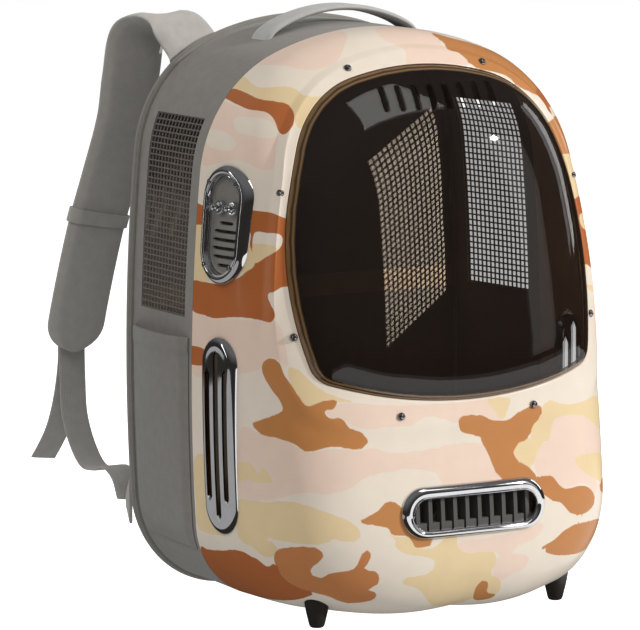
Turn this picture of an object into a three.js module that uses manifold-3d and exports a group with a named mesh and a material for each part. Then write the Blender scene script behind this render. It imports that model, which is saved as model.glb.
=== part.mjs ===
// Pet carrier backpack: a hard front shell with a bubble window, on a soft cloth back with two shoulder straps.
// Millimetres, +Z up, the shell faces -Y. Heights are above the surface that the bag stands on.
// Until the last lines y = 0 is the seam between shell and cloth, and x = 0 the bag's plane of symmetry.

import * as THREE from 'three';
import { mergeVertices } from 'three/addons/utils/BufferGeometryUtils.js';
import Module from 'manifold-3d';

const wasm = await Module();
wasm.setup();

const DEGREE = Math.PI / 180;
const GAP = 0.3;
// Moves the seam back so that the origin is under the middle of the whole bag
const SEAM_Y = -54.85;

// Outline of the bag from the front: crown, shoulder and side arcs from the top centre, then a lower corner
const SEAM_ARCS = [
  { radius: 235, turn: 22.5, steps: 3 },
  { radius: 109, turn: 62, steps: 5 },
  { radius: 1740, turn: 9.1, steps: 3 },
];
const RIM_ARCS = [
  { radius: 226, turn: 22.5, steps: 3 },
  { radius: 100, turn: 62, steps: 5 },
  { radius: 1730, turn: 9.1, steps: 3 },
];
const SEAM_ARCH = { top: 453.5, arcs: SEAM_ARCS, bottom: 9 };
const RIM_ARCH = { top: 455, arcs: RIM_ARCS, bottom: 3 };
// The outline that the shell rounds towards at its front, with wider lower corners
const FRONT_ARCH = { top: 453.5, arcs: SEAM_ARCS, bottom: -58 };
const RING_ARCH = {
  top: 441,
  arcs: [
    { radius: 200, turn: 21.5, steps: 3 },
    { radius: 97, turn: 54, steps: 6 },
    { radius: 600, turn: 15, steps: 3 },
  ],
  corner: 50,
  bottom: 150,
};
const WINDOW_ARCH = {
  top: 428,
  arcs: [
    { radius: 240, turn: 15.4, steps: 3 },
    { radius: 82, turn: 53.4, steps: 6 },
    { radius: 271, turn: 35.6, steps: 5 },
  ],
  corner: 19,
  bottom: 174,
};
const CORNER_STEPS = 5;
const BOTTOM_STEPS = 2;

// Front shell: its depth at floor level, how far its front leans back for each millimetre up, and how round it is
const DOME_CENTRE_Z = 287;
const FRONT_DEPTH = 176;
const FRONT_LEAN = 0.22;
const EDGE_POWER = 3.8;
const FACE_POWER = 3.55;
const OUTER_RISES = [0, 0.3, 0.55, 0.72, 0.84, 0.92];
const INNER_RISES = [0, 0.45, 0.74, 0.92];
const FACE_SHARES = [0.52, 0.28];
const SHELL_WALL = 3;
const RING_RISE = 2.2;

// Window: a clear blister; each row of its edge lies in from the outline and out from the shell's face
const BUBBLE_EDGE = [
  { inset: 0, rise: -3 },
  { inset: 0, rise: 1.2 },
  { inset: 1.6, rise: 3.6 },
  { inset: 5, rise: 5.5 },
  { inset: 11, rise: 7 },
];
const BUBBLE_BULGE = 3;
const BUBBLE_SHARES = [0.66, 0.33];
const BUBBLE_MIDDLE_Z = 300;
const BUBBLE_WALL = 2.5;
const WINDOW_SLOTS = { count: 8, pitch: 14.2, middleX: 6, z: 404, width: 6, length: 20 };

// Eight screws on the ring, four a side
const SCREW_SPOTS = [
  { x: 62, z: 427 },
  { x: 135, z: 336 },
  { x: 137, z: 228 },
  { x: 61, z: 165.5 },
];
const SCREW_PROFILE = [[0, 0], [3.2, 0], [3.2, 0.8], [2, 2.1], [0, 2.5]];
const SCREW_SIDES = 8;

// Air grille low on the shell's front
const GRILLE = { z: 90.7, length: 132, height: 40, openLength: 112, openHeight: 24, rise: 4, louvers: 9 };
const LOUVER_WIDTH = 4;
const LOUVER_RIM = 1.4;

// Chrome trims have a low edge and a raised crest inside it
const TRIM_EDGE_RISE = 1.5;
const TRIM_EDGE = 3;

// Chrome vents low on both sides of the shell, each with three upright slots
const SIDE_VENT = { y: -41.5, z: 146, width: 44, height: 154, rise: 5 };
const VENT_SLOTS = [
  { shift: -12, length: 106 },
  { shift: 0, length: 134 },
  { shift: 12, length: 106 },
];
const VENT_SLOT_WIDTH = 7;

// Control oval high on the left side: chrome bezel, grey panel with six slots and two toggle switches
const CONTROL = { y: -40, z: 309, width: 54, height: 92, openWidth: 38, openHeight: 76, rise: 5 };
const PANEL_DEPTH = 1.5;
const PANEL_WALL = 2.5;
const PANEL_SLOTS = [
  { z: 310, length: 17 },
  { z: 303.5, length: 31 },
  { z: 297, length: 34 },
  { z: 290.5, length: 34 },
  { z: 284, length: 30 },
  { z: 277.5, length: 17 },
];
const PANEL_SLOT_HEIGHT = 2.6;
const SWITCH = { z: 322, pitch: 15, middleY: -42 };
const COLLAR_PROFILE = [[3.2, -1.5], [5.3, -1.5], [5.3, 3.6], [4.7, 4.2], [3.2, 4.2]];
const LEVER_PROFILE = [
  [0, 0], [0.9, 0.2], [1.5, 0.9], [1.5, 5.6], [2.5, 6.3], [3.2, 8.2], [2.6, 10.2], [0, 11.4],
];
const SWITCH_SIDES = 9;

// Cloth body behind the seam, and the padded back that closes it
const GUSSET_DEPTH = 107.5;
const GUSSET_WALL = 3;
const RIM_DEPTH = 7.5;
const RIM_OUT = 3;
const RIM_IN = 4;
const BACK_PANEL_THICK = 8;
const BACK_PANEL_BEVEL = 2.5;

// Mesh panel in each side: the cloth is open there and a net of square gaps fills it
const MESH = { y0: 14, y1: 93, z0: 232, z1: 386, columns: 4, rows: 8, bar: 3, border: 4, inset: 0.8, wall: 1.4 };

// Pocket low on each side: one cloth wall that stands off the body at its mouth
const POCKET = { y0: 5, y1: 103, z0: 50, z1: 217, wall: 2, stand: 2, bulge: 7, hem: 12, hemExtra: 2 };
const POCKET_COLUMNS = 6;
const POCKET_ROWS = 7;

// Feet under the front corners
const FOOT = { x: 111, y: -98 };
const FOOT_PROFILE = [[0, 0], [4, 0], [5.6, 1.2], [7.2, 6], [9.4, 17], [11.2, 29], [11.6, 36], [0, 36]];
const FOOT_SIDES = 10;

// Carry handle over the crown, from foot to foot, along its middle
const HANDLE_Y = 53;
const HANDLE_ROUTE = [
  { x: -71, z: 436 },
  { x: -64, z: 449 },
  { x: -36, z: 461 },
  { x: 0, z: 466 },
  { x: 36, z: 461 },
  { x: 64, z: 449 },
  { x: 71, z: 436 },
];
const HANDLE = { width: 27, thick: 5, steps: 18 };

// Left shoulder strap, behind the back: route along its middle from the sewn root to the round lower end
const STRAP_ROUTE = [
  { x: -86, y: 106, z: 404 },
  { x: -92, y: 121, z: 433 },
  { x: -104, y: 141, z: 454 },
  { x: -117, y: 161, z: 446 },
  { x: -122, y: 169, z: 408 },
  { x: -124, y: 174, z: 376 },
  { x: -132, y: 186, z: 327 },
  { x: -140, y: 195, z: 286 },
  { x: -148, y: 208, z: 224 },
  { x: -152, y: 216, z: 182 },
];
const STRAP = { width: 53, thick: 9, steps: 24, endLength: 24 };
// The right strap's loop stands lower over the bag's back than the left one
const LOOP_FROM_Z = 400;
const LOOP_SHARE = { left: 1, right: 0.55 };
const KEEPER = { at: 0.69, length: 13, wall: 1.6 };
const BUCKLE = { x: -148, width: 34, thick: 6, height: 22, z: 200 };

// Webbing of the same strap: the run back to the bag, and the free tail of the adjuster
const RUN_ROUTE = [
  { x: -148, y: 223, z: 190 },
  { x: -148, y: 222, z: 157 },
  { x: -150, y: 215, z: 129 },
  { x: -149, y: 203, z: 105 },
  { x: -148, y: 188, z: 91 },
  { x: -147, y: 172, z: 90 },
  { x: -146, y: 156, z: 94 },
  { x: -146, y: 140, z: 87 },
  { x: -149, y: 125, z: 72 },
];
const TAIL_ROUTE = [
  { x: -147, y: 226.5, z: 190 },
  { x: -147, y: 227, z: 172 },
  { x: -149, y: 231, z: 143 },
  { x: -150, y: 242, z: 117 },
  { x: -152, y: 254, z: 99 },
  { x: -154, y: 262, z: 88 },
];
const WEBBING = { width: 24, thick: 1.8, steps: 16 };
// Triangular tab sewn to the rim, which holds the webbing's end
const ANCHOR = { x: -154, thick: 3, top: 92, bottom: 54, tipZ: 72, tipY: 122 };

const FINISH = {
  camouflage: { color: 0xded0bf, roughness: 0.45, metalness: 0 },
  smokedClear: { color: 0x2b211b, roughness: 0.08, metalness: 0 },
  chrome: { color: 0xd0d0d2, roughness: 0.08, metalness: 1 },
  greyPlastic: { color: 0x8a8781, roughness: 0.45, metalness: 0 },
  darkPlastic: { color: 0x3c3732, roughness: 0.4, metalness: 0 },
  greyCloth: { color: 0x807c76, roughness: 0.85, metalness: 0 },
  darkNet: { color: 0x4a443e, roughness: 0.8, metalness: 0 },
  lightCloth: { color: 0xb9b7b4, roughness: 0.8, metalness: 0 },
  strapCloth: { color: 0x6a6760, roughness: 0.85, metalness: 0 },
};

const carrier = new THREE.Group();

function addPiece(name, shape, finish) {
  const geometry = shape.isBufferGeometry ? shape : toGeometry(shape);
  const mesh = new THREE.Mesh(geometry, new THREE.MeshStandardMaterial(FINISH[finish]));
  mesh.name = name;
  carrier.add(mesh);
}

// A closed geometry with shared corners merged and flat triangles left out, as a solid to join and cut
function toSolid(geometry) {
  const bare = geometry.clone();
  bare.deleteAttribute('normal');
  bare.deleteAttribute('uv');
  const merged = mergeVertices(bare, 1e-4);
  const corners = [];
  const index = merged.index.array;
  for (let i = 0; i < index.length; i += 3) {
    const [a, b, c] = [index[i], index[i + 1], index[i + 2]];
    if (a !== b && b !== c && c !== a) corners.push(a, b, c);
  }
  const vertProperties = Float32Array.from(merged.attributes.position.array);
  return new wasm.Manifold(new wasm.Mesh({ numProp: 3, vertProperties, triVerts: Uint32Array.from(corners) }));
}

function toGeometry(solid) {
  const mesh = solid.getMesh();
  const geometry = new THREE.BufferGeometry();
  geometry.setAttribute('position', new THREE.BufferAttribute(Float32Array.from(mesh.vertProperties), 3));
  geometry.setIndex(new THREE.BufferAttribute(Uint32Array.from(mesh.triVerts), 1));
  return geometry;
}

// Half an outline, from the top centre down the right side to the bottom centre, as (x, height) points
function archHalf(arch, inset = 0) {
  const points = [];
  let heading = 0;
  let x = 0;
  let z = arch.top - inset;
  const turnBy = (radius, angle, steps) => {
    const centreX = x - radius * Math.sin(heading);
    const centreZ = z - radius * Math.cos(heading);
    for (let i = 0; i <= steps; i += 1) {
      const at = heading + (angle * i) / steps;
      x = centreX + radius * Math.sin(at);
      z = centreZ + radius * Math.cos(at);
      if (i < steps) points.push(new THREE.Vector2(x, z));
    }
    heading += angle;
  };
  arch.arcs.forEach(({ radius, turn, steps }) => turnBy(radius - inset, turn * DEGREE, steps));
  const bottom = arch.bottom + inset;
  if (arch.corner === undefined) {
    // The corner takes the radius that ends level with a flat bottom
    turnBy((z - bottom) / (1 + Math.cos(heading)), Math.PI - heading, CORNER_STEPS);
    for (let i = 0; i < BOTTOM_STEPS; i += 1) {
      points.push(new THREE.Vector2(x * (1 - i / BOTTOM_STEPS), bottom));
    }
  } else {
    // A bottom arc, level at the centre line, touches the corner arc from outside
    const radius = arch.corner - inset;
    const cornerX = x - radius * Math.sin(heading);
    const lift = bottom - (z - radius * Math.cos(heading));
    const bottomRadius = (radius ** 2 - cornerX ** 2 - lift ** 2) / (2 * (lift + radius));
    const sweep = Math.atan2(cornerX, lift + bottomRadius);
    turnBy(radius, Math.PI - sweep - heading, CORNER_STEPS);
    turnBy(bottomRadius, sweep, BOTTOM_STEPS + 2);
  }
  points.push(new THREE.Vector2(0, bottom));
  return points;
}

function archLoop(arch, inset = 0) {
  const half = archHalf(arch, inset);
  const other = half.slice(1, -1).map((point) => new THREE.Vector2(-point.x, point.y));
  return half.concat(other.reverse());
}

// Oval with round ends, upright or level, about a centre
function ovalLoop(across, up, width, height, steps = 4) {
  const radius = Math.min(width, height) / 2;
  const alongX = width / 2 - radius;
  const alongY = height / 2 - radius;
  const corners = [
    { x: 1, y: 1, from: 0 },
    { x: -1, y: 1, from: 90 },
    { x: -1, y: -1, from: 180 },
    { x: 1, y: -1, from: 270 },
  ];
  const points = corners.flatMap(({ x, y, from }) => Array.from({ length: steps + 1 }, (_, i) => {
    const angle = (from + (90 * i) / steps) * DEGREE;
    const centreX = across + x * alongX;
    const centreY = up + y * alongY;
    return new THREE.Vector2(centreX + radius * Math.cos(angle), centreY + radius * Math.sin(angle));
  }));
  return points.filter((point, i) => point.distanceTo(points[(i + 1) % points.length]) > 1e-6);
}

// Plain rectangle about a centre
function boxLoop(across, up, width, height) {
  const corners = [{ x: 0.5, y: 0.5 }, { x: -0.5, y: 0.5 }, { x: -0.5, y: -0.5 }, { x: 0.5, y: -0.5 }];
  return corners.map(({ x, y }) => new THREE.Vector2(across + x * width, up + y * height));
}

// Rounded rectangle about a centre
function plateLoop(across, up, width, height, radius, steps = 6) {
  const inner = { width: width - 2 * radius, height: height - 2 * radius };
  const corners = [
    { x: 0.5, y: 0.5, from: 0 },
    { x: -0.5, y: 0.5, from: 90 },
    { x: -0.5, y: -0.5, from: 180 },
    { x: 0.5, y: -0.5, from: 270 },
  ];
  return corners.flatMap(({ x, y, from }) => Array.from({ length: steps + 1 }, (_, i) => {
    const angle = (from + (90 * i) / steps) * DEGREE;
    const centreX = across + x * inner.width;
    const centreY = up + y * inner.height;
    return new THREE.Vector2(centreX + radius * Math.cos(angle), centreY + radius * Math.sin(angle));
  }));
}

// A loop of (x, z) points carried from yBack forward to yFront
function prismAlongY(loop, yBack, yFront) {
  const depth = yBack - yFront;
  const geometry = new THREE.ExtrudeGeometry(new THREE.Shape(loop), { depth, bevelEnabled: false });
  geometry.rotateX(Math.PI / 2);
  geometry.translate(0, yBack, 0);
  return toSolid(geometry);
}

// A loop of (y, z) points carried from x0 to x1
function prismAlongX(loop, x0, x1) {
  const geometry = new THREE.ExtrudeGeometry(new THREE.Shape(loop), { depth: x1 - x0, bevelEnabled: false });
  const turn = new THREE.Matrix4().makeBasis(
    new THREE.Vector3(0, 1, 0),
    new THREE.Vector3(0, 0, 1),
    new THREE.Vector3(1, 0, 0),
  );
  geometry.applyMatrix4(turn);
  geometry.translate(x0, 0, 0);
  return toSolid(geometry);
}

// A geometry of points and triangle corners, turned to face out
function facingOut(points, index) {
  let volume = 0;
  for (let i = 0; i < index.length; i += 3) {
    const [a, b, c] = [points[index[i]], points[index[i + 1]], points[index[i + 2]]];
    volume += a.dot(b.clone().cross(c));
  }
  const geometry = new THREE.BufferGeometry().setFromPoints(points);
  geometry.setIndex(volume > 0 ? index : index.reverse());
  return geometry;
}

// Equal closed rows of points joined into a skin, with each end closed by a fan round its middle
function loft(rows) {
  const count = rows[0].length;
  const middle = (row) => row.reduce((sum, point) => sum.add(point), new THREE.Vector3()).divideScalar(count);
  const points = [...rows.flat(), middle(rows[0]), middle(rows[rows.length - 1])];
  const index = [];
  const lastStart = (rows.length - 1) * count;
  for (let i = 0; i < count; i += 1) {
    const next = (i + 1) % count;
    for (let start = 0; start < lastStart; start += count) {
      index.push(start + i, start + next, start + count + next);
      index.push(start + i, start + count + next, start + count + i);
    }
    index.push(points.length - 2, next, i);
    index.push(points.length - 1, lastStart + i, lastStart + next);
  }
  return facingOut(points, index);
}

// Two equal grids of points, the faces of a wall, joined into one closed skin round their edges
function wallBetween(front, back) {
  const [rows, columns] = [front.length, front[0].length];
  const count = rows * columns;
  const index = [];
  for (let row = 0; row + 1 < rows; row += 1) {
    for (let column = 0; column + 1 < columns; column += 1) {
      const a = row * columns + column;
      const [b, c, d] = [a + 1, a + columns + 1, a + columns];
      index.push(a, b, c, a, c, d);
      index.push(count + a, count + c, count + b, count + a, count + d, count + c);
    }
  }
  const across = Array.from({ length: columns }, (_, i) => i);
  const upward = Array.from({ length: rows - 2 }, (_, i) => i + 1);
  const edge = [
    ...across,
    ...upward.map((row) => row * columns + columns - 1),
    ...across.map((column) => rows * columns - 1 - column),
    ...upward.map((row) => (rows - 1 - row) * columns),
  ];
  edge.forEach((a, i) => {
    const b = edge[(i + 1) % edge.length];
    index.push(a, count + a, count + b, a, count + b, b);
  });
  return facingOut([...front.flat(), ...back.flat()], index);
}

// Distance from the dome's centre to an outline, by the angle from straight up
function polarOf(half) {
  return half.map((point) => ({
    angle: Math.atan2(point.x, point.y - DOME_CENTRE_Z),
    reach: Math.hypot(point.x, point.y - DOME_CENTRE_Z),
  }));
}

// The outline is straight between its points
function reachAt(polar, angle) {
  const at = Math.abs(angle);
  const after = Math.max(1, polar.findIndex((entry) => entry.angle >= at - 1e-9));
  const [low, high] = [polar[after - 1], polar[after]];
  const across = low.reach * Math.sin(at - low.angle) + high.reach * Math.sin(high.angle - at);
  return (low.reach * high.reach * Math.sin(high.angle - low.angle)) / across;
}

const SEAM_POLAR = polarOf(archHalf(SEAM_ARCH));
const FRONT_POLAR = polarOf(archHalf(FRONT_ARCH));

// The front leans back evenly from the foot to the top
function frontDepth(z) {
  return FRONT_DEPTH - FRONT_LEAN * z;
}

// share runs from 0 at the dome's centre to 1 at the seam, and the rise from 1 to 0
function domeRise(share) {
  return (1 - share ** EDGE_POWER) ** (1 / FACE_POWER);
}

function domeShare(rise) {
  return (1 - rise ** FACE_POWER) ** (1 / EDGE_POWER);
}

function domeReach(angle, rise, offset) {
  const blend = rise ** 3;
  return THREE.MathUtils.lerp(reachAt(SEAM_POLAR, angle), reachAt(FRONT_POLAR, angle), blend) + offset;
}

// A point of the shell's outer face, or of the same face moved out by an offset
function domePoint(angle, share, offset) {
  const rise = domeRise(share);
  const reach = share * domeReach(angle, rise, offset);
  const z = DOME_CENTRE_Z + reach * Math.cos(angle);
  return new THREE.Vector3(reach * Math.sin(angle), -(frontDepth(z) + offset) * rise, z);
}

// The face's y at a given x and height
function domeY(x, z, offset) {
  const angle = Math.atan2(x, z - DOME_CENTRE_Z);
  const distance = Math.hypot(x, z - DOME_CENTRE_Z);
  let rise = 0.5;
  for (let i = 0; i < 40; i += 1) {
    const share = Math.min(1, distance / domeReach(angle, rise, offset));
    rise = (rise + domeRise(share)) / 2;
  }
  return -(frontDepth(z) + offset) * rise;
}

// The left face's x at a given y and height, found by halving
function domeLeftX(y, z, offset) {
  let inside = 0;
  let outside = -200;
  for (let i = 0; i < 40; i += 1) {
    const middle = (inside + outside) / 2;
    if (domeY(middle, z, offset) < y) inside = middle;
    else outside = middle;
  }
  return inside;
}

// Everything between the shell's face, moved out by an offset, and an upright plane behind it
function domeSolid(offset, yBack, rises) {
  const halfAngles = SEAM_POLAR.map((entry) => entry.angle);
  const angles = halfAngles.concat(halfAngles.slice(1, -1).map((angle) => -angle).reverse());
  const shares = rises.map(domeShare).concat(FACE_SHARES);
  const rows = shares.map((share) => angles.map((angle) => domePoint(angle, share, offset)));
  if (yBack > 0) rows.unshift(rows[0].map((point) => new THREE.Vector3(point.x, yBack, point.z)));
  return toSolid(loft(rows));
}

// A slice of the shell's skin between two offsets
function domeSkin(outer, inner, rises) {
  return domeSolid(outer, 0, rises).subtract(domeSolid(inner, 20, rises));
}

// A turned piece about an axis through a point, from its (radius, height) profile
function turned(profile, sides, point, axis) {
  const geometry = new THREE.LatheGeometry(profile.map(([r, h]) => new THREE.Vector2(r, h)), sides);
  const upright = new THREE.Vector3(0, 1, 0);
  geometry.applyQuaternion(new THREE.Quaternion().setFromUnitVectors(upright, axis));
  geometry.translate(point.x, point.y, point.z);
  return toSolid(geometry);
}

// Bar section with round sides, as (across, out) points
function barSection(width, thick, steps = 2) {
  const radius = thick / 2;
  const sides = [1, -1];
  return sides.flatMap((side) => Array.from({ length: steps + 1 }, (_, i) => {
    const angle = (90 - (180 * i) / steps) * DEGREE;
    const across = side * (width / 2 - radius + radius * Math.cos(angle));
    return new THREE.Vector2(across, side * radius * Math.sin(angle));
  }));
}

// A section carried along a route, its width kept along one direction; widthAt tapers it by share of length
function band(route, across, section, steps, widthAt = () => 1) {
  const curve = new THREE.CatmullRomCurve3(route, false, 'centripetal');
  const rows = [];
  for (let i = 0; i <= steps; i += 1) {
    const share = i / steps;
    const point = curve.getPointAt(share);
    const along = curve.getTangentAt(share);
    const side = across.clone().addScaledVector(along, -across.dot(along)).normalize();
    const out = side.clone().cross(along);
    const width = widthAt(share, curve.getLength());
    rows.push(section.map((spot) => point.clone()
      .addScaledVector(side, spot.x * width)
      .addScaledVector(out, spot.y)));
  }
  return toSolid(loft(rows));
}

const onSide = (solid, side) => (side < 0 ? solid : solid.mirror([1, 0, 0]));
const SIDES = [{ word: 'left', sign: -1 }, { word: 'right', sign: 1 }];

// Cutters and skins that several pieces share
const windowCut = prismAlongY(archLoop(WINDOW_ARCH), -25, -260);
const grilleLoop = (grow) => ovalLoop(0, GRILLE.z, GRILLE.length + grow, GRILLE.height + grow);
const grilleOpening = (grow) => ovalLoop(0, GRILLE.z - 1.5, GRILLE.openLength + grow, GRILLE.openHeight + grow);
const ventLoop = (grow) => ovalLoop(SIDE_VENT.y, SIDE_VENT.z, SIDE_VENT.width + grow, SIDE_VENT.height + grow);
const controlLoop = (grow) => ovalLoop(CONTROL.y, CONTROL.z, CONTROL.width + grow, CONTROL.height + grow);
const controlOpening = (grow) => ovalLoop(CONTROL.y, CONTROL.z, CONTROL.openWidth + grow, CONTROL.openHeight + grow);
const LEFT_SPAN = [-190, -90];
const FRONT_SPAN = [-120, -230];

// Hard front shell with the raised ring round its window
function frontShell() {
  const ring = domeSolid(RING_RISE, 0, OUTER_RISES)
    .intersect(prismAlongY(archLoop(RING_ARCH), -20, -260));
  const vent = prismAlongX(ventLoop(2 * GAP), ...LEFT_SPAN);
  return domeSolid(0, 0, OUTER_RISES)
    .add(ring)
    .subtract(domeSolid(-SHELL_WALL, 20, INNER_RISES))
    .subtract(windowCut)
    .subtract(prismAlongY(grilleLoop(2 * GAP), ...FRONT_SPAN))
    .subtract(vent)
    .subtract(vent.mirror([1, 0, 0]))
    .subtract(prismAlongX(controlLoop(2 * GAP), ...LEFT_SPAN));
}

// Smoked blister in the ring: its outer face, its edge down into the opening, its inner face and the vent slots
function windowBubble() {
  const edgeRow = ({ inset, rise }) => archLoop(WINDOW_ARCH, GAP + inset)
    .map(({ x, y: z }) => new THREE.Vector3(x, domeY(x, z, rise), z));
  const faceRows = ({ inset, rise }) => BUBBLE_SHARES.map((share) => archLoop(WINDOW_ARCH, GAP + inset)
    .map((spot) => {
      const x = spot.x * share;
      const z = THREE.MathUtils.lerp(BUBBLE_MIDDLE_Z, spot.y, share);
      return new THREE.Vector3(x, domeY(x, z, rise + BUBBLE_BULGE), z);
    }));
  const crest = BUBBLE_EDGE[BUBBLE_EDGE.length - 1];
  const innerEdge = [BUBBLE_EDGE[0], BUBBLE_EDGE[2], crest].map(({ inset, rise }) => ({
    inset: inset + BUBBLE_WALL,
    rise: Math.max(rise - BUBBLE_WALL, BUBBLE_EDGE[0].rise),
  }));
  let bubble = toSolid(loft([
    ...faceRows(crest).reverse(),
    ...BUBBLE_EDGE.map(edgeRow).reverse(),
    ...innerEdge.map(edgeRow),
    ...faceRows(innerEdge[2]),
  ]));
  for (let i = 0; i < WINDOW_SLOTS.count; i += 1) {
    const x = WINDOW_SLOTS.middleX + (i - (WINDOW_SLOTS.count - 1) / 2) * WINDOW_SLOTS.pitch;
    const loop = ovalLoop(x, WINDOW_SLOTS.z, WINDOW_SLOTS.width, WINDOW_SLOTS.length, 2);
    bubble = bubble.subtract(prismAlongY(loop, -30, -230));
  }
  return bubble;
}

// Outward direction of the shell's face at a given x and height
function domeNormal(x, z) {
  const step = 0.5;
  const slopeX = (domeY(x + step, z, 0) - domeY(x - step, z, 0)) / (2 * step);
  const slopeZ = (domeY(x, z + step, 0) - domeY(x, z - step, 0)) / (2 * step);
  return new THREE.Vector3(slopeX, -1, slopeZ).normalize();
}

function addWindow() {
  addPiece('window_bubble', windowBubble(), 'smokedClear');
  SIDES.forEach(({ word, sign }) => SCREW_SPOTS.forEach(({ x, z }, i) => {
    const normal = domeNormal(sign * x, z);
    const seat = new THREE.Vector3(sign * x, domeY(x, z, RING_RISE), z).addScaledVector(normal, GAP);
    const screw = turned(SCREW_PROFILE, SCREW_SIDES, seat, normal)
      .subtract(domeSolid(RING_RISE + GAP / 2, 20, OUTER_RISES));
    addPiece(`window_screw_${word}_${i + 1}`, screw, 'chrome');
  }));
}

function addGrille() {
  const bezel = domeSkin(GRILLE.rise, -SHELL_WALL, INNER_RISES)
    .intersect(prismAlongY(grilleLoop(0), ...FRONT_SPAN))
    .subtract(prismAlongY(grilleOpening(0), ...FRONT_SPAN));
  addPiece('grille_bezel', bezel, 'chrome');

  let louvers = domeSkin(1, -SHELL_WALL, INNER_RISES)
    .intersect(prismAlongY(grilleOpening(-2 * GAP), ...FRONT_SPAN));
  const gapCut = prismAlongY(grilleOpening(-2 * GAP - 2 * LOUVER_RIM), ...FRONT_SPAN);
  const pitch = GRILLE.openLength / (GRILLE.louvers + 1);
  for (let i = 0; i <= GRILLE.louvers; i += 1) {
    const x = (i - GRILLE.louvers / 2) * pitch;
    const gap = boxLoop(x, GRILLE.z, pitch - LOUVER_WIDTH, GRILLE.height);
    louvers = louvers.subtract(prismAlongY(gap, ...FRONT_SPAN).intersect(gapCut));
  }
  addPiece('grille_louvers', louvers, 'greyPlastic');
}

// Raised chrome trim on the shell's left side inside an oval, down to a depth
function sideTrim(loopAt, rise, depth) {
  const edge = domeSkin(TRIM_EDGE_RISE, -depth, INNER_RISES).intersect(prismAlongX(loopAt(0), ...LEFT_SPAN));
  const crestLoop = prismAlongX(loopAt(-2 * TRIM_EDGE), ...LEFT_SPAN);
  return edge.add(domeSkin(rise, -depth, INNER_RISES).intersect(crestLoop));
}

function addSideVents() {
  let vent = sideTrim(ventLoop, SIDE_VENT.rise, SHELL_WALL);
  VENT_SLOTS.forEach(({ shift, length }) => {
    const slot = ovalLoop(SIDE_VENT.y + shift, SIDE_VENT.z, VENT_SLOT_WIDTH, length, 2);
    vent = vent.subtract(prismAlongX(slot, ...LEFT_SPAN));
  });
  SIDES.forEach(({ word, sign }) => addPiece(`side_vent_${word}`, onSide(vent, sign), 'chrome'));
}

// Outward direction of the shell's left side at a given y and height
function sideNormal(y, z) {
  const step = 2;
  const slopeY = (domeLeftX(y + step, z, 0) - domeLeftX(y - step, z, 0)) / (2 * step);
  const slopeZ = (domeLeftX(y, z + step, 0) - domeLeftX(y, z - step, 0)) / (2 * step);
  return new THREE.Vector3(-1, slopeY, slopeZ).normalize();
}

function addControl() {
  const bezel = sideTrim(controlLoop, CONTROL.rise, PANEL_DEPTH + PANEL_WALL)
    .subtract(prismAlongX(controlOpening(0), ...LEFT_SPAN));
  addPiece('control_bezel', bezel, 'chrome');

  let panel = domeSkin(-PANEL_DEPTH, -PANEL_DEPTH - PANEL_WALL, INNER_RISES)
    .intersect(prismAlongX(controlOpening(-2 * GAP), ...LEFT_SPAN));
  PANEL_SLOTS.forEach(({ z, length }) => {
    panel = panel.subtract(prismAlongX(boxLoop(CONTROL.y, z, length, PANEL_SLOT_HEIGHT), ...LEFT_SPAN));
  });
  addPiece('control_panel', panel, 'greyPlastic');

  const clear = domeSolid(GAP - PANEL_DEPTH, 20, INNER_RISES);
  [-0.5, 0.5].forEach((share, i) => {
    const y = SWITCH.middleY - share * SWITCH.pitch;
    const seat = new THREE.Vector3(domeLeftX(y, SWITCH.z, GAP - PANEL_DEPTH), y, SWITCH.z);
    const outward = sideNormal(y, SWITCH.z);
    const closedCollar = [...COLLAR_PROFILE, COLLAR_PROFILE[0]];
    addPiece(`switch_collar_${i + 1}`, turned(closedCollar, SWITCH_SIDES, seat, outward).subtract(clear), 'chrome');
    addPiece(`switch_lever_${i + 1}`, turned(LEVER_PROFILE, SWITCH_SIDES, seat, outward).subtract(clear), 'chrome');
  });
}

// A loop round the bag at a given y, moved in by an inset: it goes evenly from the seam's outline to the rim's
function bodyLoop(y, inset) {
  const share = y / GUSSET_DEPTH;
  const rim = archLoop(RIM_ARCH, inset);
  return archLoop(SEAM_ARCH, inset).map((point, i) => point.lerp(rim[i], share));
}

function bodyBlock(inset, y0, y1) {
  const rows = [y0, y1].map((y) => bodyLoop(y, inset).map((point) => new THREE.Vector3(point.x, y, point.y)));
  return toSolid(loft(rows));
}

// The cloth body between two depths, as a ring between two insets of its outline
function bodyRing(outset, inset, y0, y1) {
  return bodyBlock(-outset, y0, y1).subtract(bodyBlock(inset, y0 - 1, y1 + 1));
}

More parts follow.
